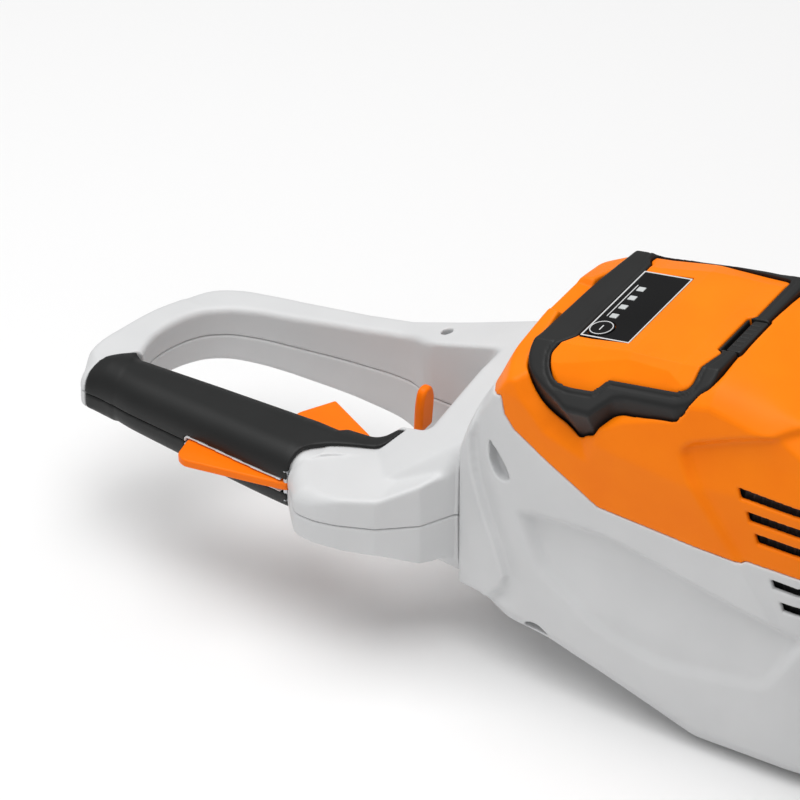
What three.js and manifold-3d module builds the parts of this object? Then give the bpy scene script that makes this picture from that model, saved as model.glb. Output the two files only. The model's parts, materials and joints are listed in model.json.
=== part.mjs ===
// Cordless hedge trimmer with a swivelling D-handle.
// Millimetres. +X points along the blades to their tip, +Y to the tool's left, +Z up.
// The tool stands on its flat gear cover, and the origin is the middle of that face.
// Inside, every piece is drawn around the swivel axis of the rear handle: x = 0 at the seam between the
// handle and the housing, y = 0 and z = 0 on the axis. The last lines move the whole group to the origin.
import * as THREE from 'three';
import { ConvexGeometry } from 'three/addons/geometries/ConvexGeometry.js';
import { mergeVertices } from 'three/addons/utils/BufferGeometryUtils.js';
import Module from 'manifold-3d';

const wasm = await Module();
wasm.setup();

// ---- driving dimensions -------------------------------------------------------------------------------
const AXIS_HEIGHT = 88;            // swivel axis above the surface that the tool stands on
const ORIGIN_X = 230;              // middle of the gear cover, ahead of the seam
const GAP = 0.3;                   // clearance between neighbours
const WALL = 3;                    // moulded wall thickness
const ROUND = 20;                  // sides of a round piece
const FAR = 400;                   // reach of a cutting tool that passes right through
const SCREW_RADIUS = 2;            // shank of the housing and handle screws
const SCREW_HEAD = 3;              // thickness of their heads

const SEAM_HALF = 60;              // half width of the rounded square seam
const SEAM_CORNER = 14;            // its corner chamfer
const HUB_RADIUS = 34;             // swivel bearing
const HUB_REACH = 14;              // how far the hub enters the housing

const BODY_FRONT = 262;            // front face of the housing
const BODY_BOTTOM = -84;

const BAY_TILT = 11.5;             // battery bay pitch, degrees
const BAY_X = 56.3;                // reference point on the battery's top plane
const BAY_Z = 126.8;
const BATTERY_REAR = -17;          // battery extent along the tilted plane
const BATTERY_FRONT = 92;
const BATTERY_HALF = 61;           // half width
const BATTERY_DEPTH = 62;
const COVER_THICK = 7;             // orange battery cover

const MOTOR_X = 212;
const CRANK_X = 242;
const CRANK_THROW = 8;             // half of the blade stroke
const MODULE = 1;                  // gear module
const PINION_TEETH = 12;
const CRANK_TEETH = 48;

const BLADE_REAR = 262;
const BLADE_TIP = 866;
const TOOTH_PITCH = 36;
const TOOTH_COUNT = 14;
const TOOTH_START = 338;
const TOOTH_REACH = 36;            // tooth tips from the centre line
const TOOTH_ROOT = 9;              // half width of a tooth where it leaves the spine
const TOOTH_END = 3.5;             // half width of its tip
const BLADE_HALF = 12;             // half width of the blade's spine
const SCREW_PITCH = 105;
const SCREW_COUNT = 5;
const FIRST_SCREW = 345;

// layers of the blade drive, lowest face first
const GEAR_COVER = [-88, -85];
const LOW_ECCENTRIC = [-84.5, -81.5];
const LOW_ROD = [-81.2, -78.5];
const LOW_BLADE = [-78.2, -75.7];
const UP_BLADE = [-75.4, -72.9];
const UP_ROD = [-72.6, -69.9];
const GUIDE_BAR = [-72.6, -69.6];
const UP_ECCENTRIC = [-69.6, -66.6];
const CRANK_GEAR = [-66.2, -58.2];
const GEAR_BOX = [-84.7, -46];

const BAIL_X = 284;                // plane of the front handle
const BAIL_HALF = 108;
const BAIL_TOP = 140;
const BAIL_TUBE = 11;              // radius of its tube
const GRIP_HALF = 62;              // half length of its grip
const GRIP_RADIUS = 16;
const SWITCH_GAP = 6;              // travel of the switch bar up to the grip
const SWITCH_BAR_HALF = 6;         // half height of the bar

// ---- colours and finishes -----------------------------------------------------------------------------
const finish = (color, roughness, metalness = 0) => () =>
  new THREE.MeshStandardMaterial({ color, roughness, metalness });
const white = finish('#dfe1e2', 0.5);
const orange = finish('#f5821f', 0.45);
const black = finish('#2b2b2c', 0.6);
const rubber = finish('#1d1d1e', 0.85);
const steel = finish('#b9bcc0', 0.3, 1);
const alloy = finish('#9a9da1', 0.45, 1);
const copper = finish('#a8623a', 0.4, 1);
const board = finish('#2f5a38', 0.5);
const lamp = finish('#e8ecec', 0.3);

// ---- solids -------------------------------------------------------------------------------------------
function solid(geometry) {
  const bare = new THREE.BufferGeometry();
  bare.setAttribute('position', geometry.getAttribute('position'));
  if (geometry.index) bare.setIndex(geometry.index);
  const merged = mergeVertices(bare, 1e-4);
  return new wasm.Manifold(new wasm.Mesh({
    numProp: 3,
    vertProperties: new Float32Array(merged.getAttribute('position').array),
    triVerts: new Uint32Array(merged.index.array),
  }));
}

function geometryOf(manifold) {
  const mesh = manifold.getMesh();
  const geometry = new THREE.BufferGeometry();
  geometry.setAttribute('position', new THREE.BufferAttribute(mesh.vertProperties, 3));
  geometry.setIndex(new THREE.BufferAttribute(mesh.triVerts, 1));
  geometry.computeVertexNormals();
  return geometry;
}

function box(x0, x1, y0, y1, z0, z1) {
  const geometry = new THREE.BoxGeometry(x1 - x0, y1 - y0, z1 - z0);
  return solid(geometry.translate((x0 + x1) / 2, (y0 + y1) / 2, (z0 + z1) / 2));
}

const hull = (points) => solid(new ConvexGeometry(points.map((p) => new THREE.Vector3(...p))));
const join = (...pieces) => pieces.reduce((all, piece) => all.add(piece));
const cut = (piece, ...tools) => tools.reduce((left, tool) => left.subtract(tool), piece);

// hull of each neighbouring pair of sections, joined into one run
function run(sections) {
  const links = sections.slice(1).map((section, i) => hull([...sections[i], ...section]));
  return join(...links);
}

// outline in the plane across `axis`, drawn in the order X, Y, Z, and extruded from lo to hi along it
function prism(axis, outline, lo, hi) {
  const shape = new THREE.Shape(outline.map(([u, v]) => new THREE.Vector2(u, v)));
  const geometry = new THREE.ExtrudeGeometry(shape, { depth: hi - lo, bevelEnabled: false });
  geometry.translate(0, 0, lo);
  if (axis === 'y') geometry.rotateX(Math.PI / 2).scale(1, -1, 1);
  if (axis === 'x') geometry.applyMatrix4(new THREE.Matrix4().makeBasis(
    new THREE.Vector3(0, 1, 0), new THREE.Vector3(0, 0, 1), new THREE.Vector3(1, 0, 0)));
  if (axis === 'y') flip(geometry);
  return solid(geometry);
}

// turns every face of a mirrored geometry the right way round
function flip(geometry) {
  const p = geometry.getAttribute('position').array;
  for (let i = 0; i < p.length; i += 9) {
    for (let k = 0; k < 3; k += 1) [p[i + k], p[i + 3 + k]] = [p[i + 3 + k], p[i + k]];
  }
}

// round bar along an axis through the point (x, y, z), from lo to hi along that axis
function bar(axis, [x, y, z], radius, lo, hi, sides = ROUND) {
  const geometry = new THREE.CylinderGeometry(radius, radius, hi - lo, sides);
  const middle = (lo + hi) / 2;
  if (axis === 'x') geometry.rotateZ(Math.PI / 2).translate(middle, y, z);
  if (axis === 'y') geometry.translate(x, middle, z);
  if (axis === 'z') geometry.rotateX(Math.PI / 2).translate(x, y, middle);
  return solid(geometry);
}

// octagonal section at station x: half width, bottom, top, and the corner cuts below and above
function section(x, half, bottom, top, low = SEAM_CORNER, high = SEAM_CORNER) {
  return [
    [x, -half, bottom + low], [x, -half, top - high], [x, -half + high, top], [x, half - high, top],
    [x, half, top - high], [x, half, bottom + low], [x, half - low, bottom], [x, -half + low, bottom],
  ];
}

// the chamfered square that both sides of the seam share
function seamSection(x, inset = 0) {
  const half = SEAM_HALF - inset;
  return section(x, half, -half, half);
}

// screw along an axis, from the outer face of its head; a negative length points it downwards
function screw(axis, at, head, length) {
  const seat = head + Math.sign(length) * SCREW_HEAD;
  const ends = (a, b) => [Math.min(a, b), Math.max(a, b)];
  const cap = bar(axis, at, SCREW_RADIUS * 2, ...ends(head, seat), 12);
  return cap.add(bar(axis, at, SCREW_RADIUS, ...ends(head, head + length), 12));
}

const model = new THREE.Group();
function add(name, piece, material, parent = model) {
  const mesh = new THREE.Mesh(piece.isBufferGeometry ? piece : geometryOf(piece), material());
  mesh.name = name;
  parent.add(mesh);
}

// ---- housing ------------------------------------------------------------------------------------------
// sections of the housing and its top cover together, from the seam to the front face
function bodySections(inset) {
  const station = (x, half, bottom, top, low, high) =>
    section(x, half - inset, bottom + inset, top - inset, low, high);
  return [
    seamSection(GAP / 2 + inset, inset),
    station(30, 66, -62, 121, 16, 22),
    station(60, 70, -68, 128, 18, 24),
    station(150, 71, BODY_BOTTOM, 134, 20, 22),
    station(205, 69, BODY_BOTTOM, 126, 20, 24),
    station(BODY_FRONT - inset, 56, BODY_BOTTOM, 34, 18, 14),
  ];
}

const bayPoint = (a, c) => {
  const tilt = THREE.MathUtils.degToRad(BAY_TILT);
  return [
    BAY_X + a * Math.cos(tilt) - c * Math.sin(tilt),
    BAY_Z + a * Math.sin(tilt) + c * Math.cos(tilt),
  ];
};
const BAY_FLOOR = -BATTERY_DEPTH - 1;
const bayOutline = (grow) => [
  bayPoint(BATTERY_REAR - grow, 60), bayPoint(BATTERY_REAR - grow, BAY_FLOOR - grow),
  bayPoint(BATTERY_FRONT + grow, BAY_FLOOR - grow), bayPoint(BATTERY_FRONT + grow, 60),
];
const bay = prism('y', bayOutline(1.5), -BATTERY_HALF - 6, BATTERY_HALF + 6);

// the line where the top cover meets the housing halves, seen from the side
const SPLIT = [
  [-5, 81], [29, 96.5], [31.5, 85.5], [37.5, 78], [59, 65.8], [91.3, 48.8], [178, 48], [300, 50.4],
];
const above = (lift) => prism('y', [
  ...SPLIT.map(([x, z]) => [x, z + lift]), [300, FAR], [-5, FAR],
], -FAR, FAR);
const below = (drop) => prism('y', [
  ...SPLIT.map(([x, z]) => [x, z - drop]), [300, -FAR], [-5, -FAR],
], -FAR, FAR);

const bodyOuter = run(bodySections(0));
const shell = cut(bodyOuter, run(bodySections(WALL)));
const hubHole = bar('x', [0, 0, 0], HUB_RADIUS + 6.5, -10, 16, 32);
const gearBoxSpace = box(164, 320, -46 - GAP, 46 + GAP, -120, GEAR_BOX[1] + GAP);
const SCREW_SPOTS = [[26, 52], [52, -50], [251, -10]];     // housing screws, seen from the side
const HEAD_FACE = -50;                                     // their heads sit here in the right half
const SCREW_LENGTH = 62;
const BOSS_RADIUS = 6;
const SHANK_HOLE = SCREW_RADIUS + GAP;
const HEAD_HOLE = SCREW_RADIUS * 2 + GAP * 2;

function housing(side) {
  const reach = side < 0 ? [-FAR, -GAP / 2] : [GAP / 2, FAR];
  const across = (radius, lo, hi) => SCREW_SPOTS.map(([x, z]) => bar('y', [x, 0, z], radius, lo, hi, 12));
  const bosses = across(BOSS_RADIUS, ...reach).map((boss) => boss.intersect(bodyOuter));
  const holes = across(SHANK_HOLE, -FAR, HEAD_FACE + SCREW_LENGTH + SCREW_HEAD);
  const sinks = across(HEAD_HOLE, -FAR, HEAD_FACE + SCREW_HEAD + GAP);
  const cutHalf = box(-FAR, FAR, ...reach, -FAR, FAR);
  const half = join(shell, ...bosses).intersect(cutHalf).intersect(below(GAP / 2));
  return cut(half, hubHole, gearBoxSpace, ...holes, ...sinks);
}

add('housing_right', housing(-1), white);
add('housing_left', housing(1), white);
SCREW_SPOTS.forEach(([x, z], i) =>
  add(`housing_screw_${i + 1}`, screw('y', [x, 0, z], HEAD_FACE, SCREW_LENGTH), steel));

// top cover: open over the bay, with a finger scoop at each side of the battery
const scoop = (side) => prism('y', [[60, 150], [66, 108], [74, 99], [86, 99], [93, 106], [103, 150]],
  side < 0 ? -90 : 50, side < 0 ? -50 : 90);
const ventSlot = (side, x, z) => box(x, x + 34, side < 0 ? -90 : 60, side < 0 ? -60 : 90, z, z + 5);
const VENTS = [[173, 86], [179, 74], [185, 62]];
const vents = [-1, 1].flatMap((side) => VENTS.map(([x, z]) => ventSlot(side, x, z)));
add('top_cover', cut(shell, bay, scoop(-1), scoop(1), ...vents).intersect(above(GAP / 2)), orange);

// ---- swivel -------------------------------------------------------------------------------------------
const ringBore = bar('x', [0, 0, 0], HUB_RADIUS + GAP, 0, 20, 32);
add('swivel_ring', cut(bar('x', [0, 0, 0], 52, 4, 8, 32), ringBore), black);

const handle = new THREE.Group();
model.add(handle);
const hubCore = join(
  bar('x', [0, 0, 0], HUB_RADIUS, -9, HUB_REACH, 32),
  bar('x', [0, 0, 0], HUB_RADIUS + 5, 8.4, HUB_REACH, 32),
);
add('handle_hub', cut(hubCore, bar('x', [0, 0, 0], 22, -20, 30, 24)), black, handle);

// ---- rear handle, turned to the tool's right ----------------------------------------------------------
// rectangular section across x with cut corners
const slab = (x, y0, y1, half, corner = 6) => [
  [x, y0, -half + corner], [x, y0, half - corner], [x, y0 + corner, half], [x, y1 - corner, half],
  [x, y1, half - corner], [x, y1, -half + corner], [x, y1 - corner, -half], [x, y0 + corner, -half],
];
// the same section across y
const post = (y, x0, x1, half, corner) => slab(y, x0, x1, half, corner).map(([v, u, z]) => [u, v, z]);

const neck = run([seamSection(-GAP / 2), slab(-30, -52, 52, 46, 18), slab(-52, -46, 48, 40, 16)]);
const farArm = run([
  slab(-50, 22, 48, 38, 12), slab(-93, 28, 46, 28, 9), slab(-120, 26, 43, 24, 9),
  slab(-160, 20, 39, 20, 8), slab(-196, 9.7, 32.3, 17.6, 7),
]);
const rearBar = run([
  post(32, -214, -196, 17), post(12, -226, -204, 17), post(-10, -236, -212, 17), post(-40, -243, -219, 17),
  post(-64, -243, -224, 14),
]);
const nearBlock = run([
  slab(-3, -60, -30, 34, 10), slab(-12, -78, -36, 28, 8), slab(-31, -93, -44, 20, 7),
  slab(-61, -102, -52, 17, 6), slab(-84, -101, -62, 15, 6), slab(-96, -95, -70, 11, 5),
]);

// the grip: a soft sleeve in two halves around the core of the loop
const gripBody = (grow) => run([
  slab(-236 - grow, -72 - grow, -46 + grow, 15 + grow, 8), slab(-222, -79 - grow, -43 + grow, 18 + grow, 9),
  slab(-160, -82 - grow, -41 + grow, 19 + grow, 9), slab(-96, -86 - grow, -40 + grow, 21 + grow, 9),
  slab(-66 + grow, -88 - grow, -40 + grow, 21 + grow, 9),
]);
const core = (grow) => run([
  slab(-240, -66 - grow, -50 + grow, 9 + grow, 2), slab(-56, -68 - grow, -46 + grow, 9 + grow, 2),
]);

const TRIGGER = [[-120, -30], [-110, -11], [-106, -11], [-74, -29], [-67, -44], [-70, -52], [-118, -46]];
const TRIGGER_PIN = [-72, -47];
const LOCK = [[-158, -82], [-156, -95], [-151, -98.5], [-103, -89.5], [-88, -88], [-88, -80], [-152, -76]];
const LOCK_PIN = [-93, -84.5];
const TRIGGER_HALF = 5.5;          // half thickness of the trigger and of the lock lever
const LOCK_HALF = 2.8;
const SLOT_PLAY = 0.7;
const PIN_RADIUS = 1.8;
const PIN_HALF = 10;
const PIN_PLAY = 0.05;
const SWITCH = { x: [-112, -86], y: [-66.5, -57.5], z: [-6.5, 6.5] };
const spread = ([lo, hi], grow) => [lo - grow, hi + grow];

const slot = (outline, half) => prism('z', outline, -half - SLOT_PLAY, half + SLOT_PLAY);
const triggerSpace = slot([[-124, -20], [-70, -20], [-60, -42], [-64, -56], [-122, -57]], TRIGGER_HALF);
const lockSpace = slot([[-164, -110], [-161, -63.5], [-84, -73], [-82, -110]], LOCK_HALF);
const pinSpace = ([x, y]) =>
  bar('z', [x, y, 0], PIN_RADIUS + PIN_PLAY, -PIN_HALF - GAP, PIN_HALF + GAP, 16);
const switchBody = (grow) => box(...[SWITCH.x, SWITCH.y, SWITCH.z].flatMap((ends) => spread(ends, grow)));
const hubSpace = join(
  bar('x', [0, 0, 0], HUB_RADIUS + GAP, -9 - GAP, 20, 32), bar('x', [0, 0, 0], 20, -36, 0, 20));

// paddle in the loop's front wall, and the pocket it is drawn forward into
const RELEASE = { x: [-66, -60], y: [0, 15], z: [-8, 15] };
const releaseSpace = box(RELEASE.x[0] - 20, -46, ...spread(RELEASE.y, 2.5), ...spread(RELEASE.z, 2));

// handle screws: place and the face of the head; the first goes in from the left, the others from the right
const HANDLE_SCREWS = [[-66, 36, 22], [-26, -62, -12], [-231, -34, -10]];
const handleScrewSpace = HANDLE_SCREWS.flatMap(([x, y, head]) => {
  const side = Math.sign(head);
  const mouth = [head - side * (SCREW_HEAD + GAP), side * SEAM_HALF].sort((a, b) => a - b);
  const shank = bar('z', [x, y, 0], SHANK_HOLE, -Math.abs(head), Math.abs(head), 12);
  return [shank, bar('z', [x, y, 0], HEAD_HOLE, ...mouth, 12)];
});
const handleCuts = [triggerSpace, lockSpace, pinSpace(TRIGGER_PIN), pinSpace(LOCK_PIN), switchBody(GAP),
  hubSpace, releaseSpace, ...handleScrewSpace];

// hollows that leave a moulded wall in the far arm and the near block
const hollows = [
  run([slab(-100, 32, 38, 18, 3), slab(-160, 24, 35, 14, 3), slab(-190, 17, 28, 12, 3)]),
  run([slab(-40, -84, -72, 12, 4), slab(-60, -96, -90.5, 12, 2)]),
];
const loop = cut(join(neck, farArm, rearBar, nearBlock), gripBody(GAP)).add(core(0));
const handleSides = {
  left: box(-FAR, FAR, -FAR, FAR, GAP / 2, FAR),
  right: box(-FAR, FAR, -FAR, FAR, -FAR, -GAP / 2),
};
for (const [side, half] of Object.entries(handleSides)) {
  add(`handle_shell_${side}`, cut(loop.intersect(half), ...hollows, ...handleCuts), white, handle);
  add(`grip_cover_${side}`, cut(gripBody(0).intersect(half), core(GAP), ...handleCuts), rubber, handle);
}
HANDLE_SCREWS.forEach(([x, y, head], i) => {
  const length = -Math.sign(head) * (Math.abs(head) + 7);
  add(`handle_screw_${i + 1}`, screw('z', [x, y, 0], head, length), steel, handle);
});

const pin = ([x, y]) => bar('z', [x, y, 0], PIN_RADIUS, -PIN_HALF, PIN_HALF, 16);
const lever = (outline, half, at) => cut(prism('z', outline, -half, half), pinSpace(at));
add('trigger', lever(TRIGGER, TRIGGER_HALF, TRIGGER_PIN), orange, handle);
add('trigger_pin', pin(TRIGGER_PIN), steel, handle);
add('lock_lever', lever(LOCK, LOCK_HALF, LOCK_PIN), orange, handle);
add('lock_lever_pin', pin(LOCK_PIN), steel, handle);
add('trigger_switch', switchBody(0), black, handle);
const paddleEnd = (rear, side, z) => [
  [RELEASE.x[0] + rear, RELEASE.y[0] + side, z], [RELEASE.x[0] + rear, RELEASE.y[1] - side, z],
  [RELEASE.x[1], RELEASE.y[0] + side, z], [RELEASE.x[1], RELEASE.y[1] - side, z],
];
add('swivel_release_lever', hull([...paddleEnd(0, 0, RELEASE.z[0]), ...paddleEnd(2, 1.5, RELEASE.z[1])]),
  orange, handle);

// ---- battery, drawn in its tilted bay -----------------------------------------------------------------
const battery = new THREE.Group();
battery.position.set(BAY_X, 0, BAY_Z);
battery.rotation.y = -THREE.MathUtils.degToRad(BAY_TILT);
model.add(battery);

const PANEL = { a: [0, 31], b: [-33, 34] };
const BUTTON = [8, -23];
const BUTTON_RADIUS = 7;
const LED_STRIP = { a: [6, 11], b: [-13, 20] };
const LATCH = [84, 91, -24, 8];
const caseHull = run([
  section(BATTERY_REAR, 52, -50, -4, 8, 6), section(-6, BATTERY_HALF, -BATTERY_DEPTH, -3, 8, 6),
  section(40, BATTERY_HALF, -BATTERY_DEPTH, -3, 8, 6), section(BATTERY_FRONT, 54, -BATTERY_DEPTH, -3, 8, 6),
]);
const coverSection = (a, half, grow, top = 0) => section(a, half + grow, -COVER_THICK - grow, top, 0.5, 4);
const coverHull = (grow) => run([
  coverSection(-8 - grow, 46, grow, -1.5), coverSection(6, 56, grow),
  coverSection(60, 55, grow), coverSection(80 + grow, 48, grow),
]);
const socket = box(62, 94, -20, 20, -80, -46);
const latchSpace = box(LATCH[0] - 4, 110, LATCH[2] - 2, LATCH[3] + 2, -22, 20);
add('battery_case', cut(caseHull, coverHull(GAP), socket, latchSpace), black, battery);
const panelSpace = box(...spread(PANEL.a, GAP), ...spread(PANEL.b, GAP), -2.5, 5);
const buttonWell = bar('z', [...BUTTON, 0], BUTTON_RADIUS + GAP, -5, 5, 24);
const ledWell = box(...spread(LED_STRIP.a, GAP), ...spread(LED_STRIP.b, GAP), -2.6, 5);
add('battery_top_cover', cut(coverHull(0), panelSpace, buttonWell), orange, battery);
add('battery_label_panel', cut(box(...PANEL.a, ...PANEL.b, -2.2, 0.2), buttonWell, ledWell), black, battery);
add('battery_led_strip', box(...LED_STRIP.a, ...LED_STRIP.b, -2.2, 0.4), lamp, battery);
add('battery_button', bar('z', [...BUTTON, 0], BUTTON_RADIUS, -2.6, 0.9, 24), black, battery);
add('battery_release_lever', box(LATCH[0], LATCH[1], LATCH[2], LATCH[3], -20, -1), black, battery);

// guide tray under the battery, with the terminal block that its socket slides over
const tray = new THREE.Group();
tray.position.copy(battery.position);
tray.rotation.copy(battery.rotation);
model.add(tray);
const TRAY_TOP = -BATTERY_DEPTH - GAP;
const trayPlate = box(-10, 88, -56, 56, TRAY_TOP - WALL, TRAY_TOP);
add('battery_guide', cut(trayPlate, box(10, 50, -30, 30, -FAR, 0)), black, tray);
add('battery_terminal_block', box(66, 88, -16, 16, TRAY_TOP + GAP, -49), black, tray);

add('control_board', box(72, 150, -34, 34, 18, 21), board);

// ---- motor and gear train -----------------------------------------------------------------------------
const crankLine = [CRANK_X, 0, 0];
const motorLine = [MOTOR_X, 0, 0];
const SHAFT = 3;
const AXLE = 4;

// spur gear around a vertical bore
function gear(teeth, [x, y], [z0, z1], bore, turn) {
  const pitch = (MODULE * teeth) / 2;
  const step = (2 * Math.PI) / teeth;
  const profile = [[-0.42, pitch - 1.15], [-0.23, pitch - 0.1], [-0.12, pitch + 0.8], [0.12, pitch + 0.8],
    [0.23, pitch - 0.1], [0.42, pitch - 1.15]];
  const outline = [];
  for (let i = 0; i < teeth; i += 1) {
    for (const [share, radius] of profile) {
      const angle = turn + (i + share) * step;
      outline.push([x + radius * Math.cos(angle), y + radius * Math.sin(angle)]);
    }
  }
  return cut(prism('z', outline, z0, z1), bar('z', [x, y, 0], bore, z0 - 1, z1 + 1, 16));
}

const GEAR_HALF = 42;              // half width of the gear housing
const gearBox = (grow) => run([
  section(166 - grow, GEAR_HALF + grow, ...GEAR_BOX, 0.5, 8),
  section(304, GEAR_HALF + grow, GEAR_BOX[0], GEAR_BOX[1] + grow, 0.5, 8),
  section(320, 30 + grow, GEAR_BOX[0], -58 + grow, 0.5, 6),
]);
add('gear_housing', cut(gearBox(0),
  box(170, 288, -37, 37, -100, -50),
  box(280, 340, -17, 17, -100, -68.5),
  bar('z', motorLine, 8, -60, -40, 16), bar('z', crankLine, AXLE + 0.3, -60, -40, 16),
), alloy);
add('gear_cover', prism('z', [
  [166, -36], [172, -GEAR_HALF], [280, -GEAR_HALF], [294, -30],
  [294, 30], [280, GEAR_HALF], [172, GEAR_HALF], [166, 36],
], ...GEAR_COVER), black);
add('motor_stator', cut(bar('z', motorLine, 29, -45.7, 6, 24), bar('z', motorLine, 21, -60, 20, 24)), copper);
add('motor_rotor', join(bar('z', motorLine, 20, -36, 4, 24), bar('z', motorLine, SHAFT, -66, 22, 16)), steel);
add('motor_pinion', gear(PINION_TEETH, motorLine, CRANK_GEAR, SHAFT + GAP, Math.PI / PINION_TEETH), steel);
const FAN_RADIUS = 25;
const FAN_BLADES = 9;
const fanBlade = box(SHAFT + 4, FAN_RADIUS, -0.9, 0.9, 9, 18);
let fan = bar('z', [0, 0, 0], SHAFT + 5, 9, 18, 16).add(bar('z', [0, 0, 0], FAN_RADIUS, 8, 9.5, 24));
for (let i = 0; i < FAN_BLADES; i += 1) fan = fan.add(fanBlade.rotate([0, 0, (i * 360) / FAN_BLADES]));
add('cooling_fan', cut(fan, bar('z', [0, 0, 0], SHAFT + GAP, 0, 30, 16)).translate([MOTOR_X, 0, 0]), black);
add('crank_gear', gear(CRANK_TEETH, crankLine, CRANK_GEAR, AXLE + GAP, 0), steel);
const eccentric = (layer, throwY) => cut(bar('z', [CRANK_X, throwY, 0], 14, ...layer, 24),
  bar('z', crankLine, AXLE + GAP, -100, 0, 16));
add('eccentric_upper', eccentric(UP_ECCENTRIC, CRANK_THROW), steel);
add('eccentric_lower', eccentric(LOW_ECCENTRIC, -CRANK_THROW), steel);
add('gear_axle', bar('z', crankLine, AXLE, -84.6, -47, 16), steel);

// ---- blades -------------------------------------------------------------------------------------------
const ROD_BORE = AXLE + CRANK_THROW + 1;
const rod = (layer, pinLayer) => cut(join(
  bar('z', crankLine, ROD_BORE + 4, ...layer, 24), box(CRANK_X + ROD_BORE, BLADE_REAR + 14, -7, 7, ...layer),
), bar('z', crankLine, ROD_BORE, -100, 0, 24));
add('connecting_rod_upper', rod(UP_ROD), steel);
add('connecting_rod_lower', rod(LOW_ROD), steel);

const screwXs = Array.from({ length: SCREW_COUNT }, (_, i) => FIRST_SCREW + i * SCREW_PITCH);
const GUIDE_SCREW = 2.6;           // radius of the blade screws
const HEAD_HEIGHT = 3;
function blade(layer) {
  const right = [];
  for (let i = 0; i < TOOTH_COUNT; i += 1) {
    const x = TOOTH_START + i * TOOTH_PITCH;
    right.push([x - TOOTH_ROOT, -BLADE_HALF], [x - TOOTH_END, -TOOTH_REACH]);
    right.push([x + TOOTH_END, -TOOTH_REACH], [x + TOOTH_ROOT, -BLADE_HALF]);
  }
  const left = right.map(([x, y]) => [x, -y]).reverse();
  const nose = [[BLADE_TIP - 16, -BLADE_HALF], [BLADE_TIP, -5], [BLADE_TIP, 5], [BLADE_TIP - 16, BLADE_HALF]];
  const outline = [[BLADE_REAR, -BLADE_HALF], ...right, ...nose, ...left, [BLADE_REAR, BLADE_HALF]];
  const slotHalf = GUIDE_SCREW + 0.4;
  const reach = CRANK_THROW + slotHalf;
  const slots = screwXs.map((x) => box(x - reach, x + reach, -slotHalf, slotHalf, ...layer));
  return cut(prism('z', outline, ...layer), ...slots);
}
add('blade_upper', blade(UP_BLADE), steel);
add('blade_lower', blade(LOW_BLADE), steel);
const GUIDE = [300, 838];
add('blade_guide_bar', cut(box(...GUIDE, -10, 10, ...GUIDE_BAR),
  ...screwXs.map((x) => bar('z', [x, 0, 0], GUIDE_SCREW + GAP, -80, -60, 12))), steel);
screwXs.forEach((x, i) => {
  const bolt = join(
    bar('z', [x, 0, 0], 5, GUIDE_BAR[1] + GAP, GUIDE_BAR[1] + GAP + HEAD_HEIGHT, 6),
    bar('z', [x, 0, 0], GUIDE_SCREW, LOW_BLADE[0] - HEAD_HEIGHT, GUIDE_BAR[1] + HEAD_HEIGHT, 12),
    bar('z', [x, 0, 0], 6, LOW_BLADE[0] - HEAD_HEIGHT, LOW_BLADE[0] - GAP, 12),
  );
  add(`blade_screw_${i + 1}`, bolt, steel);
});
add('tip_guard', cut(
  hull([[824, -14, -66], [824, 14, -66], [888, -20, -66], [888, 20, -66], [824, -14, -69.2], [824, 14, -69.2],
    [888, -20, -83], [888, 20, -83]]).add(box(876, 888, -20, 20, -83, -66)),
  box(800, BLADE_TIP + CRANK_THROW + 1, -60, 60, -90, -69.2),
), black);

// ---- front handle and guard ---------------------------------------------------------------------------
// half of the tube's centre line, from the foot up to the grip; the other half mirrors it
const bailHalf = [
  [279, 47, -54], [282, 72, -46], [BAIL_X, 98, -22], [BAIL_X, BAIL_HALF, 20], [BAIL_X, BAIL_HALF, 70],
  [BAIL_X, 98, 112], [BAIL_X, 80, 134], [BAIL_X, GRIP_HALF + 4, BAIL_TOP], [BAIL_X, 30, BAIL_TOP],
];
const bailPath = new THREE.CatmullRomCurve3([
  ...bailHalf.map(([x, y, z]) => new THREE.Vector3(x, -y, z)),
  new THREE.Vector3(BAIL_X, 0, BAIL_TOP),
  ...bailHalf.map(([x, y, z]) => new THREE.Vector3(x, y, z)).reverse(),
], false, 'centripetal');
const TUBE_SIDES = 10;
const ring = new THREE.Shape(Array.from({ length: TUBE_SIDES }, (_, i) => {
  const angle = (2 * Math.PI * i) / TUBE_SIDES;
  return new THREE.Vector2(BAIL_TUBE * Math.cos(angle), BAIL_TUBE * Math.sin(angle));
}));
const bailTube = solid(new THREE.ExtrudeGeometry(ring, { steps: 44, extrudePath: bailPath }));
const FOOT = [GEAR_HALF + GAP, GEAR_HALF + 12];     // each foot bolts against a side of the gear housing
const foot = (side) => box(265, 291, ...(side < 0 ? [-FOOT[1], -FOOT[0]] : FOOT), -66, -42);
add('front_handle_frame', join(bailTube, foot(-1), foot(1)), black);
add('front_handle_grip', cut(
  bar('y', [BAIL_X, 0, BAIL_TOP], GRIP_RADIUS, -GRIP_HALF, GRIP_HALF),
  bar('y', [BAIL_X, 0, BAIL_TOP], BAIL_TUBE + 1, -FAR, FAR),
), rubber);
const switchEnd = (y) => post(y, BAIL_X - 7, BAIL_X + 7, SWITCH_BAR_HALF, 2);
const switchBar = run([switchEnd(4 - GRIP_HALF), switchEnd(GRIP_HALF - 4)]);
add('switch_bar', switchBar.translate([0, 0, BAIL_TOP - GRIP_RADIUS - SWITCH_GAP - SWITCH_BAR_HALF]), orange);

const GUARD = { x: 312, thick: 4, low: [104, -60], high: [83, 62] };     // half width and height of each edge
const guardPlate = hull([GUARD.x, GUARD.x + GUARD.thick].flatMap((x) =>
  [GUARD.low, GUARD.high].flatMap(([half, z]) => [[x, -half, z], [x, half, z]])));
add('hand_guard', cut(guardPlate, gearBox(GAP)), black);

model.position.set(-ORIGIN_X, 0, AXIS_HEIGHT);
model.updateMatrixWorld(true);
export default model;
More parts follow.
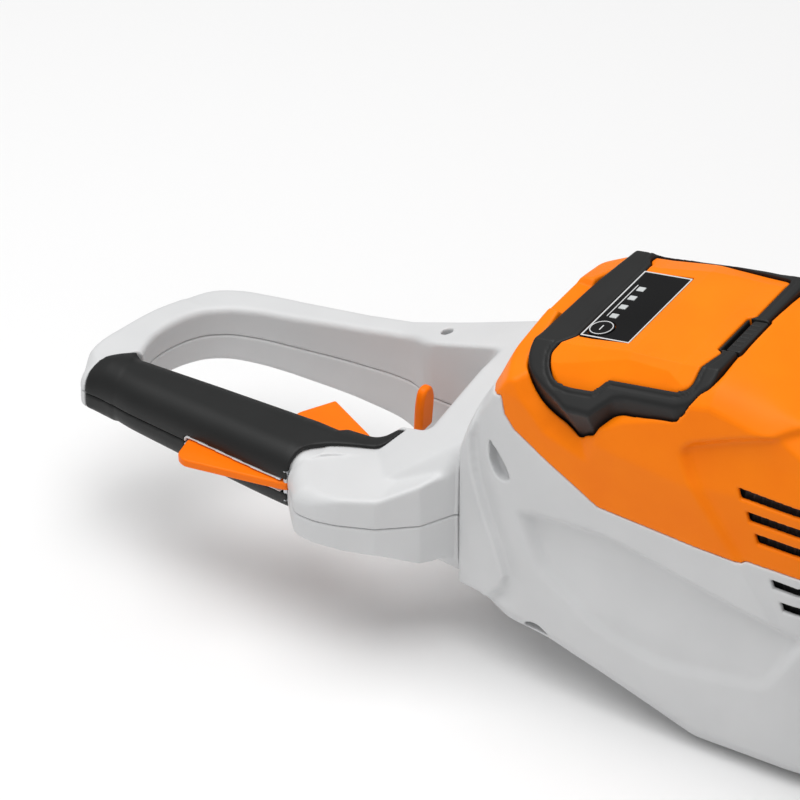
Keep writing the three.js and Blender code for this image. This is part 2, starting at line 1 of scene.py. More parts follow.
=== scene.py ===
"""Cordless hedge trimmer: shells, soft grips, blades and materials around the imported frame."""
import functools
import json
import math

import bmesh
import bpy
import numpy as np
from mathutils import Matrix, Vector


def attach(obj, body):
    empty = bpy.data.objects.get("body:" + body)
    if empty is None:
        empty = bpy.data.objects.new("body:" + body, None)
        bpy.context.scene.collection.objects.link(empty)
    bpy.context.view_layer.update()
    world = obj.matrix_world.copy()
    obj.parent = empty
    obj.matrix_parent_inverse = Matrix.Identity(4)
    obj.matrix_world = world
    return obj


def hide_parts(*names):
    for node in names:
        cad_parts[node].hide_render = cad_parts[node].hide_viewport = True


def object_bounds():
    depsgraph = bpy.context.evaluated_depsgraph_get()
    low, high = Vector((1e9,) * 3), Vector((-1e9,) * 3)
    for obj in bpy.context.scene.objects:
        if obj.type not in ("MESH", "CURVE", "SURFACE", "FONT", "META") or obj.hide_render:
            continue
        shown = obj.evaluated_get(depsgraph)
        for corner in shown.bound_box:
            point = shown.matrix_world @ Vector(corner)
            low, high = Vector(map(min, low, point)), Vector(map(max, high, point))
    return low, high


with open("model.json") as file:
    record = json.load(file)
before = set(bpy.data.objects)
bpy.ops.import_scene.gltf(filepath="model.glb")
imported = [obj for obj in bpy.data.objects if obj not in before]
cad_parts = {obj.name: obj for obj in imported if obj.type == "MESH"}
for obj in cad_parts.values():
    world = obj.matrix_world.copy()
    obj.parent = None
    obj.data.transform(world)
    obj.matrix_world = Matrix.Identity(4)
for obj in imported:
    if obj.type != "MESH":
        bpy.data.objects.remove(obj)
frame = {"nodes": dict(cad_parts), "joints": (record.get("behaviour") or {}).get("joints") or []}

import openvdb
from mathutils import Vector
from mathutils.geometry import tessellate_polygon

CAD_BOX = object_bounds()
MM = 0.001
COARSER = 1.0         # factor on every grid's step

joints = {joint["name"]: joint for joint in frame["joints"]}
AXIS = np.array(joints["handle_swivel"]["pos_m"])      # x = 0, y = 0, z = 0 of every drawing below


# ---- camera and stage ----
VIEW_AZIMUTH, VIEW_ELEVATION = math.radians(32.2), math.radians(37.0)
CAMERA_DISTANCE = 3.0
CAMERA_LENS = 245.7
CAMERA_AIM = Vector((-0.0815, 0.0122, 0.0))            # middle of the picture, from the swivel axis


def place_camera():
    level = math.cos(VIEW_ELEVATION)
    back = Vector((math.sin(VIEW_AZIMUTH) * level, -math.cos(VIEW_AZIMUTH) * level, math.sin(VIEW_ELEVATION)))
    camera = bpy.data.objects.new("camera", bpy.data.cameras.new("camera"))
    camera.data.lens = CAMERA_LENS
    camera.data.clip_end = 30
    camera.location = Vector(AXIS) + CAMERA_AIM + back * CAMERA_DISTANCE
    camera.rotation_euler = back.to_track_quat("Z", "Y").to_euler()
    bpy.context.scene.collection.objects.link(camera)
    bpy.context.scene.camera = camera


place_camera()


# ---- signed distance drawing ----
class Grid:
    """Sample points of a box, as three arrays that broadcast against each other, in millimetres."""

    def __init__(self, low, high, step):
        self.step = step * COARSER
        self.low = np.array(low, float) - 2 * self.step
        counts = np.ceil((np.array(high, float) + 2 * self.step - self.low) / self.step).astype(int) + 1
        axes = [self.low[i] + self.step * np.arange(counts[i]) for i in range(3)]
        self.x = axes[0].astype(np.float32)[:, None, None]
        self.y = axes[1].astype(np.float32)[None, :, None]
        self.z = axes[2].astype(np.float32)[None, None, :]
        self.shape = tuple(counts)


def outline(u, v, points):
    """Signed distance to a closed polygon, negative inside."""
    u, v = np.broadcast_arrays(u, v)
    best = np.full(u.shape, 1e9, np.float32)
    inside = np.zeros(u.shape, bool)
    for (u0, v0), (u1, v1) in zip(points, points[1:] + points[:1]):
        du, dv = u1 - u0, v1 - v0
        t = np.clip(((u - u0) * du + (v - v0) * dv) / (du * du + dv * dv + 1e-9), 0, 1)
        best = np.minimum(best, (u - u0 - t * du) ** 2 + (v - v0 - t * dv) ** 2)
        if dv:
            inside ^= ((v0 > v) != (v1 > v)) & (u < u0 + (v - v0) * du / dv)
    return np.where(inside, -np.sqrt(best), np.sqrt(best)).astype(np.float32)


def capsule(g, start, end, radius):
    """Distance to a round bar between two points."""
    a, b = np.array(start, float), np.array(end, float)
    d = b - a
    t = ((g.x - a[0]) * d[0] + (g.y - a[1]) * d[1] + (g.z - a[2]) * d[2]) / float(d @ d)
    t = np.clip(t, 0, 1)
    gaps = [axis - a[i] - t * d[i] for i, axis in enumerate((g.x, g.y, g.z))]
    return np.sqrt(gaps[0] ** 2 + gaps[1] ** 2 + gaps[2] ** 2) - radius


def cylinder(g, axis, centre, radius):
    """Endless round bar along an axis; centre is its place on the other two."""
    u, v = [(g.y, g.z), (g.x, g.z), (g.x, g.y)]["xyz".index(axis)]
    return np.hypot(u - centre[0], v - centre[1]) - radius


def blur(field, cells, axes):
    """Repeated box filter along the given axes."""
    width = max(1, int(round(cells)))
    kernel = np.ones(2 * width + 1) / (2 * width + 1)
    for axis in axes:
        pad = [(width, width) if i == axis else (0, 0) for i in range(field.ndim)]
        for _ in range(2):
            padded = np.pad(field, pad, mode="edge")
            field = np.apply_along_axis(lambda row: np.convolve(row, kernel, "valid"), axis, padded)
    return field.astype(np.float32)


def steepness(field, step, axes):
    """1 / sqrt(1 + slope squared), which turns a height difference into a distance."""
    total = np.ones_like(field)
    for axis in axes:
        if field.shape[axis] > 1:
            total += np.gradient(field, step, axis=axis) ** 2
    return 1 / np.sqrt(total)


def between(pair, part):
    """Linear interpolation from the first of a pair to the second."""
    return pair[0] * (1 - part) + pair[1] * part


def settle(points, field, g):
    """Moves mesh points on to the zero surface of the sampled field."""
    for _ in range(2):
        where = (points - g.low) / g.step
        cell = np.clip(np.floor(where).astype(int), 0, np.array(g.shape) - 2)
        f = where - cell
        corner = np.empty((2, 2, 2, len(points)))
        for i in (0, 1):
            for j in (0, 1):
                for k in (0, 1):
                    corner[i, j, k] = field[cell[:, 0] + i, cell[:, 1] + j, cell[:, 2] + k]
        fx, fy, fz = f[:, 0], f[:, 1], f[:, 2]
        along_x = between(corner, fx)
        along_xy = between(along_x, fy)
        slope_x = between(between(corner[1] - corner[0], fy), fz)
        slope_y = between(along_x[1] - along_x[0], fz)
        slope_z = along_xy[1] - along_xy[0]
        slope = np.stack([slope_x, slope_y, slope_z], 1) / g.step
        steep = np.maximum((slope ** 2).sum(1), 0.05)
        move = -(between(along_xy, fz) / steep)[:, None] * slope
        length = np.linalg.norm(move, axis=1, keepdims=True)
        points = points + move * np.minimum(1, 0.5 * g.step / np.maximum(length, 1e-9))
    return points


def largest_part(points, faces):
    """Keeps the biggest connected piece of a mesh."""
    label = np.arange(len(points))
    while True:
        low = label[faces].min(1)
        new = label.copy()
        for k in range(faces.shape[1]):
            np.minimum.at(new, faces[:, k], low)
        new = new[new]
        if (new == label).all():
            break
        label = new
    names, counts = np.unique(label[faces[:, 0]], return_counts=True)
    keep = label[faces[:, 0]] == names[counts.argmax()]
    faces = faces[keep]
    used = np.unique(faces)
    index = np.full(len(points), -1)
    index[used] = np.arange(len(used))
    return points[used], index[faces]


def to_frame(points):
    """Drawing millimetres around the swivel axis to metres of the frame."""
    return np.asarray(points) * MM + AXIS


def new_object(name, points, faces, material, smooth=True):
    mesh = bpy.data.meshes.new(name)
    mesh.vertices.add(len(points))
    mesh.vertices.foreach_set("co", np.asarray(points, np.float32).ravel())
    faces = np.asarray(faces)
    mesh.loops.add(faces.size)
    mesh.loops.foreach_set("vertex_index", faces.ravel())
    mesh.polygons.add(len(faces))
    mesh.polygons.foreach_set("loop_start", np.arange(len(faces)) * faces.shape[1])
    mesh.update(calc_edges=True)
    mesh.validate()
    if smooth:
        mesh.shade_smooth()
    mesh.materials.append(material)
    piece = bpy.data.objects.new(name, mesh)
    bpy.context.scene.collection.objects.link(piece)
    return piece


def carve(name, g, field, material, turn=to_frame, keep_all=False):
    """Meshes the zero surface of a field as a Blender object. turn maps drawing points to the frame."""
    field = np.broadcast_to(field, g.shape).astype(np.float32)
    band = 3 * g.step
    volume = openvdb.FloatGrid(band)
    volume.copyFromArray(np.clip(field, -band, band))
    points, triangles, quads = volume.convertToPolygons(isovalue=0.0, adaptivity=0.0)
    points = points.astype(float) * g.step + g.low
    halves = [quads[:, [0, 1, 2]], quads[:, [0, 2, 3]]]
    faces = np.concatenate([triangles] + halves if len(triangles) else halves).astype(np.int64)
    p = points[faces]
    inside_out = np.einsum("ij,ij->i", p[:, 0], np.cross(p[:, 1], p[:, 2])).sum() < 0
    if inside_out:
        faces = faces[:, ::-1]
    if not keep_all:
        points, faces = largest_part(points, faces)
    points = settle(points, field, g)
    return new_object(name, turn(points), faces, material)


def both(*fields):
    """Intersection of fields, with sharp edges."""
    return functools.reduce(np.maximum, fields)


def either(*fields):
    """Union of fields."""
    return functools.reduce(np.minimum, fields)


def cut(field, *holes):
    """What is left of a field when the holes are taken out."""
    return both(field, *[-hole for hole in holes])


def slab(values, middle, half):
    """Everything within half of the middle."""
    return np.abs(values - middle) - half


def stripes(values, pitch, half):
    """Parallel slabs, one in the middle of every pitch."""
    return slab(values % pitch, pitch / 2, half)


def block(g, middle, half):
    """Sharp-edged box."""
    return both(slab(g.x, middle[0], half[0]), slab(g.y, middle[1], half[1]), slab(g.z, middle[2], half[2]))


def round_max(a, b, r):
    """Intersection of two fields with an edge of radius r."""
    return np.minimum(np.maximum(a, b), -r) + np.hypot(np.maximum(a + r, 0), np.maximum(b + r, 0))


def round_min(a, b, r):
    return -round_max(-a, -b, r)


def rounded(points, setback=0, steps=4):
    """Polygon with a curve at each corner. It starts as far before the corner as its third value says."""
    out = []
    for i, corner in enumerate(points):
        p = np.array(corner[:2], float)
        reach = corner[2] if len(corner) > 2 else setback
        ends = []
        for neighbour in (points[i - 1], points[(i + 1) % len(points)]):
            other = np.array(neighbour[:2], float)
            span = np.linalg.norm(other - p)
            ends.append(p + (other - p) * min(reach, 0.48 * span) / max(span, 1e-9))
        if reach == 0:
            out.append(tuple(p))
            continue
        for k in range(steps + 1):
            t = k / steps
            out.append(tuple(ends[0] * (1 - t) ** 2 + p * 2 * t * (1 - t) + ends[1] * t ** 2))
    return out


def place(piece, body, slot, *nodes):
    """Rides on a body and stands for the CAD nodes named. The slot argument is not used."""
    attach(piece, body)
    if nodes:
        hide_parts(*nodes)


def skin(node, g, field, material, body, slot, **how):
    """Carves the piece that stands for one CAD node."""
    place(carve(f"{node}_skin", g, field, material, **how), body, slot, node)


# ---- materials ----
ROUGHNESS_SPREAD = 0.06
GRAIN_STRENGTH, GRAIN_HEIGHT = 0.12, 0.0002


def noise(tree, coordinates, scale, detail):
    texture = tree.nodes.new("ShaderNodeTexNoise")
    texture.inputs["Scale"].default_value = scale
    texture.inputs["Detail"].default_value = detail
    tree.links.new(coordinates.outputs["Object"], texture.inputs["Vector"])
    return texture


def colour_ramp(tree, value, *stops):
    """Turns a value into a colour. Each stop is a position and a colour."""
    ramp = tree.nodes.new("ShaderNodeValToRGB")
    for element, (position, colour) in zip(ramp.color_ramp.elements, stops):
        element.position = position
        element.color = (*colour, 1)
    tree.links.new(value, ramp.inputs["Fac"])
    return ramp.outputs["Color"]


def moulded(name, dark, light, roughness, grain, gloss=0.5, mottle=30.0, edge_highlight=0.04, metal=0.0):
    """Moulded or metal surface: slow colour drift, fine grain in bump and roughness, and a painted highlight
    that pales the convex edges.
    """
    material = bpy.data.materials.new(name)
    material.use_nodes = True
    tree = material.node_tree
    tree.nodes.clear()
    add, link = tree.nodes.new, tree.links.new
    out, shader = add("ShaderNodeOutputMaterial"), add("ShaderNodeBsdfPrincipled")
    link(shader.outputs["BSDF"], out.inputs["Surface"])
    coordinates = add("ShaderNodeTexCoord")
    drift, fine = noise(tree, coordinates, mottle, 4), noise(tree, coordinates, grain, 3)
    # painted highlight: convex edges, found by pointiness, are mixed towards a paler colour
    edges, highlight_mix = add("ShaderNodeNewGeometry").outputs["Pointiness"], add("ShaderNodeMixRGB")
    link(colour_ramp(tree, edges, (0.52, (0, 0, 0)), (0.62, [edge_highlight * 4] * 3)), highlight_mix.inputs["Fac"])
    link(colour_ramp(tree, drift.outputs["Fac"], (0.3, dark), (0.7, light)), highlight_mix.inputs["Color1"])
    highlight_mix.inputs["Color2"].default_value = (*[min(1, c * 1.25 + 0.05) for c in light], 1)
    link(highlight_mix.outputs["Color"], shader.inputs["Base Color"])
    rough = add("ShaderNodeMapRange")
    rough.inputs["To Min"].default_value = roughness - ROUGHNESS_SPREAD
    rough.inputs["To Max"].default_value = roughness + ROUGHNESS_SPREAD
    link(fine.outputs["Fac"], rough.inputs["Value"])
    link(rough.outputs["Result"], shader.inputs["Roughness"])
    bump = add("ShaderNodeBump")
    bump.inputs["Strength"].default_value = GRAIN_STRENGTH
    bump.inputs["Distance"].default_value = GRAIN_HEIGHT
    link(fine.outputs["Fac"], bump.inputs["Height"])
    link(bump.outputs["Normal"], shader.inputs["Normal"])
    shader.inputs["Metallic"].default_value = metal
    shader.inputs["Specular IOR Level"].default_value = gloss
    return material


WHITE = moulded("white shell", (0.63, 0.635, 0.64), (0.66, 0.665, 0.67), 0.42, 2600, gloss=0.35)
ORANGE = moulded("orange shell", (0.96, 0.2, 0.0015), (1.0, 0.225, 0.002), 0.42, 2600, gloss=0.12)
LEVER = moulded("orange lever", (0.95, 0.17, 0.001), (1.0, 0.19, 0.0015), 0.38, 1800, gloss=0.15)
RUBBER = moulded("grip rubber", (0.0075, 0.008, 0.008), (0.011, 0.0115, 0.0115), 0.52, 1500,
                 gloss=0.32, edge_highlight=0.01)
BEZEL_BLACK = moulded("battery bezel", (0.0105, 0.0108, 0.0108), (0.0145, 0.0148, 0.0148), 0.5, 2200,
                      gloss=0.3, edge_highlight=0.02)
BLACK = moulded("black shell", (0.014, 0.0145, 0.015), (0.019, 0.0195, 0.02), 0.48, 2200,
                gloss=0.4, edge_highlight=0.02)
LABEL_FILM = moulded("label film", (0.003, 0.003, 0.0033), (0.0045, 0.0045, 0.005), 0.3, 900,
                     gloss=0.12, edge_highlight=0.0)
PRINT = moulded("white print", (0.66, 0.67, 0.67), (0.72, 0.73, 0.73), 0.4, 900, gloss=0.3, edge_highlight=0.0)
LAMPS = moulded("charge lights", (0.52, 0.54, 0.54), (0.6, 0.62, 0.62), 0.2, 700, gloss=0.6, edge_highlight=0.0)
STEEL = moulded("blade steel", (0.5, 0.51, 0.53), (0.6, 0.61, 0.63), 0.3, 900, metal=1.0, mottle=60)
BRIGHT = moulded("screw steel", (0.42, 0.43, 0.45), (0.55, 0.56, 0.58), 0.28, 1200, metal=1.0, mottle=200)
ALLOY = moulded("gear alloy", (0.33, 0.34, 0.36), (0.4, 0.41, 0.43), 0.45, 1400, metal=1.0)
COPPER = moulded("motor winding", (0.4, 0.16, 0.07), (0.55, 0.24, 0.1), 0.35, 1300, metal=1.0, mottle=300)
BOARD = moulded("circuit board", (0.02, 0.12, 0.04), (0.03, 0.17, 0.06), 0.4, 1500, mottle=180)


# ---- rear handle, drawn from above ----
PART_GAP = 0.22          # half of a parting line
SEAM_GAP = 0.55          # handle or housing to the middle of the seam
TRIGGER_HALF = 5.5
LOCK_HALF = 2.7
LOCK_SLOT_HALF = 3.3
RIM = 1.2                # light rim around the lock lever's slot
GRIP_COVER = 2.9         # thickness of the soft grip
CORE_DEPTH = 3.2         # from the grip's surface to the shell inside it

LOOP_OUTER = rounded(
    [(6, -59, 0), (-2, -58.5, 0), (-6.8, -67, 1), (-12.4, -77.4, 0.8), (-31.4, -92.8, 0.8), (-51, -101, 3)]
    + [(-63, -103.8, 3), (-76, -103.6, 5), (-90, -87.5, 4), (-98, -80, 3), (-110, -70), (-222, -73)]
    + [(-236, -76, 8), (-243.5, -50, 12), (-231.5, -7, 9), (-214.5, 25.5, 9), (-198, 34, 7)]
    + [(-166, 39.5, 12), (-108, 45, 12), (-60, 49, 8), (-4, 57, 0), (6, 58, 0)], 6)
LOOP_INNER = rounded(
    [(-217, -30), (-215.5, -18), (-211.5, -6), (-205, 4.6), (-193.6, 13), (-177.6, 18.4, 8)]
    + [(-130.5, 26.2, 8), (-99.6, 29.5, 5), (-84, 29.5, 6), (-66, 21, 7), (-58, 4, 6), (-55, -14, 6)]
    + [(-49, -30, 6), (-56, -40.5, 10), (-84, -42.5), (-152, -43, 6), (-214, -46, 6)], 5)
# the black grip shows inside this outline, and the white shell outside it
RUBBER_AREA = rounded(
    [(-229, -120), (-229.5, -86, 5), (-233, -70, 6), (-229.5, -59, 6), (-217, -44.5, 5), (-211, -42.5, 3)]
    + [(-203, -42, 0), (-200, -20, 0), (-75, -10, 0), (-64, -35, 5), (-46, -38.5, 0), (-50, -43.5, 2)]
    + [(-54, -49.5, 4), (-78.5, -62.3, 8), (-88, -71, 7), (-91, -81, 4), (-91.5, -87, 0), (-89, -120, 0)])
GRIP_OUTLINE = rounded(
    [(-238, -60, 8), (-231, -72, 8), (-205, -78, 8), (-160, -82, 9), (-110, -86, 9), (-40, -89, 0)]
    + [(-40, -20, 0), (-48, -24, 3), (-57, -38, 9), (-78, -41.5, 9), (-152, -42.5, 9), (-216, -43.5, 8)]
    + [(-233, -50, 6)])
LOCK_SLOT = [(-159.6, -64.5), (-159.6, -112), (-96, -112), (-91.5, -87.5), (-85, -84), (-84, -72)]
TRIGGER_SLOT = [(-126, -57), (-123, -14), (-66, -14), (-60, -57)]
TRIGGER = [(-119.6, -33, 3), (-107.6, -12.4, 1.2), (-73, -29.8, 4), (-66, -43, 3), (-69, -52, 3),
           (-118, -46, 3)]
LOCK_LEVER = [(-158.6, -81.5, 1.5), (-156.4, -95.4, 2.5), (-151, -98.6, 3), (-103, -89.2, 6),
              (-91.5, -86.6, 1.5), (-88.5, -79, 2), (-152, -76, 2)]
# each screw's place, the level of its head and the radius of its well
HANDLE_SCREWS = [(-66, 36, 22, 3.4), (-26, -62, -12, 3.6), (-231, -34, -10, 3.6)]


def grip_field(g, loop):
    """The rubber bar: an outline from above, fullest near the neck, with a generous round section."""
    half = np.interp(g.x, [-236, -222, -160, -96, -70, -56], [14.5, 17, 19, 20.5, 19, 17]).astype(np.float32)
    bar = round_max(outline(g.x, g.y, GRIP_OUTLINE), np.abs(g.z) - half, 14.5)
    bar = round_min(bar, np.maximum(loop, g.x + 217), 6)
    return round_min(bar, np.maximum(loop, -78 - g.x), 6)


def loop_height(g):
    """Half thickness of the loop: the far arm, the near block and the slopes of the neck between them."""
    x, y = g.x, g.y
    far = np.interp(x, [-245, -200, -160, -120, -93, 0, 10], [16.5, 18, 20.5, 25, 29.5, 60, 63])
    slope = 24 + 0.5 * (x + 50) + 0.36 * (y + 41)
    side = 31 + 1.2 * (y + 61.5)
    near_block = np.interp(x, [-98, -85, -61, -31, -12, 0], [12, 15.5, 16.5, 19, 27.5, 31])
    neck = np.maximum(either(far, slope, side), near_block)
    rear = np.interp(y, [-75, -60, -20, 10], [11, 14.5, 17, 18])
    near = np.where(x > -110, neck, rear)
    return np.where(y > 8, far, near).astype(np.float32)


def loop_field(g):
    """The loop and the neck as one solid, hollowed behind the seam for the release lever."""
    height = blur(loop_height(g), 0.9 / g.step, (0, 1))
    depth = np.abs(g.z)
    top = (depth - height) * steepness(height, g.step, (0, 1))
    nose = np.clip((-50 - g.x) / 20, 0, 1) * np.clip((-56 - g.y) / 8, 0, 1)
    edge = 4.5 - 1.8 * np.clip((-60 - g.y) / 10, 0, 1) + 7 * nose
    edge = np.where(g.z < 0, np.minimum(edge, 3.5), edge)          # the lower half keeps a tighter edge
    outer = outline(g.x, g.y, LOOP_OUTER)
    outer = outer + 0.0012 * np.maximum(depth - 3, 0) ** 2 * np.clip((-48 - g.y) / 8, 0, 1)
    body = round_max(top, outer, edge)
    body = round_max(body, -outline(g.x, g.y, LOOP_INNER), 4)
    corner = 104.5 + 2.5 * np.maximum(-6 - g.x, 0)                 # the face at the seam is an octagon
    for side in (-1, 1):
        body = round_max(body, (side * g.y + depth - corner) / math.sqrt(2), 2.5)
    body = round_max(body, depth - 59.5, 2)
    scoop = round_max(g.x + 44.5 - 0.42 * depth, -(g.y + 20 + 0.6 * depth), 5)
    scoop = round_max(scoop, g.y - 23, 5)
    body = round_max(body, -np.maximum(scoop, -84 - g.x), 2.5)
    lever_space = block(g, (-56, 7.5, 5), (11, 9, 17))
    return round_max(cut(body, lever_space), g.x + SEAM_GAP, 0.6)


def screw_wells(g):
    """Blind wells of the handle's screws; the first opens upwards and the others downwards."""
    wells = []
    for x, y, level, radius in HANDLE_SCREWS:
        outwards = math.copysign(1, level)
        wells.append(both(cylinder(g, "z", (x, y), radius), outwards * (level - g.z)))
    return either(*wells)


def rear_handle():
    """Each half has a white shell, which runs on as a core under the grip, and a soft grip cover."""
    for side, sign in (("left", 1), ("right", -1)):
        low, high = sorted((0, 61 * sign))
        g = Grid((-246, -106, low), (0, 60, high), 0.95)
        half = PART_GAP - sign * g.z
        loop = loop_field(g)
        grip = grip_field(g, loop)
        lock = round_max(outline(g.x, g.y, LOCK_SLOT), np.abs(g.z) - LOCK_SLOT_HALF, 1.2)
        trigger = both(outline(g.x, g.y, TRIGGER_SLOT), np.abs(g.z) - TRIGGER_HALF - 0.8)
        rubber_area = outline(g.x, g.y, RUBBER_AREA)

        white = round_max(loop, -(rubber_area - 0.2), 0.7)
        core = both(grip + CORE_DEPTH, rubber_area - 6)
        rim = both(grip - 0.5, lock - RIM, rubber_area, g.x + 95)
        white = round_max(either(white, core, rim), -lock, 0.4)
        white = round_max(cut(white, trigger, screw_wells(g)), half, 0.5)
        skin(f"handle_shell_{side}", g, white, WHITE, "rear_handle", "white_shell")

        rubber = round_max(cut(grip, grip + GRIP_COVER), rubber_area + 0.25, 0.5)
        rubber = cut(rubber, lock - RIM - 0.1, trigger - 0.4)
        rubber = round_max(rubber, half - 0.05, 0.4)
        skin(f"grip_cover_{side}", g, rubber, RUBBER, "rear_handle", "grip_rubber")


def flat_lever(node, points, half, body, edge, step):
    """A moulded plate with soft edges."""
    xs, ys = [p[0] for p in points], [p[1] for p in points]
    g = Grid((min(xs), min(ys), -half), (max(xs), max(ys), half), step)
    shape = outline(g.x, g.y, rounded(points))
    crown = np.abs(g.z) - half + 0.035 * np.maximum(shape + 6, 0)
    skin(node, g, round_max(shape, crown, edge), LEVER, body, "orange_lever")


def release_lever():
    """The paddle that frees the swivel, ribbed on its rear face."""
    g = Grid((-67, -1, -11), (-59, 16, 21), 0.4)
    corners = [(1, -9, 2), (0.5, 12, 6), (3, 20.5, 4), (10.5, 20.5, 4), (14.5, 12, 6), (14, -9, 2)]
    face = outline(g.y, g.z, rounded(corners))
    thick = np.abs(g.x + 63 - 0.06 * (g.z - 5)) - 2.8
    ribs = both(stripes(g.z - 3.5, 3.6, 0.45), -g.x - 66.4, g.x + 65.3, slab(g.z, 2, 8), face + 2.5)
    paddle = cut(round_max(face, thick, 2.2), ribs)
    skin("swivel_release_lever", g, paddle, LEVER, "swivel_release", "orange_lever")


rear_handle()
flat_lever("trigger", TRIGGER, TRIGGER_HALF, "trigger", edge=1.2, step=0.5)
flat_lever("lock_lever", LOCK_LEVER, LOCK_HALF, "lock_lever", edge=0.9, step=0.4)
release_lever()


# ---- battery, drawn in its tilted bay ----
BAY_ORIGIN = np.array([56.3, 0.0, 126.8])      # on the battery's top face, above the swivel axis
BAY_TILT = math.radians(11.5)
COS, SIN = math.cos(BAY_TILT), math.sin(BAY_TILT)

BEZEL = rounded(
    [(-15, 56, 4), (-17.5, 36, 8), (-19.5, 16, 8), (-20.5, -16, 6), (-21, -38, 6), (-23, -47.5, 4)]
    + [(-19, -55.5, 5), (-8, -61.3, 4), (3.2, -66, 3), (8, -68.6, 3), (22.8, -69.2, 1), (34, -61, 2)]
    + [(40, -60, 2), (71, -60.4, 2), (79, -58, 3), (83, -52.6, 2), (88, -49.5, 3), (90.4, -42, 3)]
    + [(90.4, -24, 0.5), (91.6, -23.5, 1), (91.6, 8.5, 1), (90.4, 9, 0.5), (91, 50, 5), (84, 59, 4)]
    + [(40, 60, 6), (34, 61.5, 3), (26, 69, 3), (8, 69, 4), (-8, 61, 5)])
COVER = rounded(
    [(1.2, 36, 2), (0.3, -33.6, 2), (-4, -40, 2), (-9, -47, 2), (-6.5, -53.5, 3), (-1, -57.6, 3)]
    + [(8.8, -59.2, 3), (22, -59, 2), (29, -53, 3), (70.5, -53.2, 3), (77, -50.5, 3), (82.5, -26, 1.5)]
    + [(78.6, -23.8, 1), (78.6, 7.8, 1), (82.5, 10, 1.5), (82.3, 48, 3), (69.6, 49.6, 2), (52, 50.6, 3)]
    + [(34, 52.8, 3), (0, 58, 3), (-3.5, 56.5, 2), (-3, 47, 2), (0.8, 42, 2)])
LABEL = rounded([(1.3, 33.6, 0.6), (32, 33.4, 0.6), (32, -34.5, 0.6), (1.3, -34.3, 0.6)])
LATCH = rounded([(83.2, -23, 1), (91.6, -23.2, 1.2), (91.6, 7.2, 1.2), (83.2, 7, 1)])
LATCH_MIDDLE = -8
BUTTON, BUTTON_RADIUS = (9.4, -24.6), 7.3
CHARGE_LIGHTS = [(9.4, b) for b in (16.2, 7.0, -2.4, -11.7)]
SHOULDER_RIGHT, SHOULDER_LEFT = -42, 52        # where the top face begins to slope to each side
COVER_GAP = 0.6


def tilted(points):
    """Bay coordinates (forward, left, up from the top face) to metres of the frame."""
    p = np.asarray(points)
    x = BAY_ORIGIN[0] + p[:, 0] * COS - p[:, 2] * SIN
    z = BAY_ORIGIN[2] + p[:, 0] * SIN + p[:, 2] * COS
    return to_frame(np.stack([x, p[:, 1], z], 1))


class Upright:
    """The sample points of a tilted grid, seen in the upright axes of the drawing."""

    def __init__(self, g):
        self.x = BAY_ORIGIN[0] + g.x * COS - g.z * SIN
        self.y = g.y
        self.z = BAY_ORIGIN[2] + g.x * SIN + g.z * COS


def battery_top(b):
    """Height of the battery's top surface: flat in the middle and falling to each side."""
    return -0.82 * np.maximum(SHOULDER_RIGHT - b, 0) - 0.9 * np.maximum(b - SHOULDER_LEFT, 0)


def bezel_plan(g):
    return outline(g.x, g.y, BEZEL)


def wall_lean(g):
    """How far the case's wall leans in below its upper edge; the hand lobes lean most."""
    drop = np.maximum(battery_top(g.y) - g.z - 2.5, 0)
    lobe = np.exp(-(((g.x - 14) / 24) ** 4))
    return np.minimum(drop * (0.08 + 0.24 * lobe), 8)


def cover_top(g):
    """Height of the orange cover, falling from its middle and creased towards both long sides."""
    fall = 0.055 * np.minimum(np.abs(g.x - 38), 30)
    crease = np.interp(g.x, [-2, 18, 37, 62, 82], [51, 48, 45.5, 46.5, 56])
    near = 0.55 * np.maximum(-g.y - crease, 0)
    far = 0.22 * np.maximum(g.y - 42 + 0.06 * np.abs(g.x - 55), 0)
    return battery_top(g.y) + 1.7 - fall - near - far


def battery_case():
    """The dark case: an overhanging bezel with hand lobes, over a plainer body."""
    g = Grid((-24, -71, -63), (93.5, 71, 3), 0.8)
    above = g.z - battery_top(g.y)
    bezel = both(round_max(bezel_plan(g) + wall_lean(g), above, 1.6), -g.z - 46)
    core = both(slab(g.x, 37.5, 53.5), slab(g.y, 0, 57), -g.z - 62, g.z + 20)
    plan = outline(g.x, g.y, COVER) - COVER_GAP
    pocket = both(plan, -7.5 - above)
    socket = both(slab(g.x, 80, 16), slab(g.y, 0, 20), g.z + 45)
    latch_well = both(80 - g.x, slab(g.y, LATCH_MIDDLE, 15.8), -g.z - 24)
    groove = both(slab(plan, 2.6, 0.45), -above - 0.5)
    latch_wall = block(g, (79.7, LATCH_MIDDLE, -5), (0.6, 15.4, 4.4))
    case = either(cut(either(bezel, core), pocket, socket, latch_well, groove), latch_wall)
    skin("battery_case", g, case, BEZEL_BLACK, "battery", "black_shell", turn=tilted)


def battery_cover():
    """Orange plate with a pocket for the label panel and a hole under the check button."""
    g = Grid((-10, -61, -26), (84, 61, 3), 0.48)
    above = g.z - cover_top(g)
    cover = round_max(outline(g.x, g.y, COVER), above, 1.3)
    label_pocket = both(outline(g.x, g.y, LABEL) - 0.25, -1.3 - g.z)
    button_hole = both(cylinder(g, "z", BUTTON, BUTTON_RADIUS), -2.4 - g.z)
    cover = cut(cover, above + 7.0, label_pocket, button_hole)
    skin("battery_top_cover", g, cover, ORANGE, "battery", "orange_shell", turn=tilted)


def printed(name, g, field, body):
    """White lines on the label."""
    place(carve(name, g, field, PRINT, tilted), body, "charge_light")


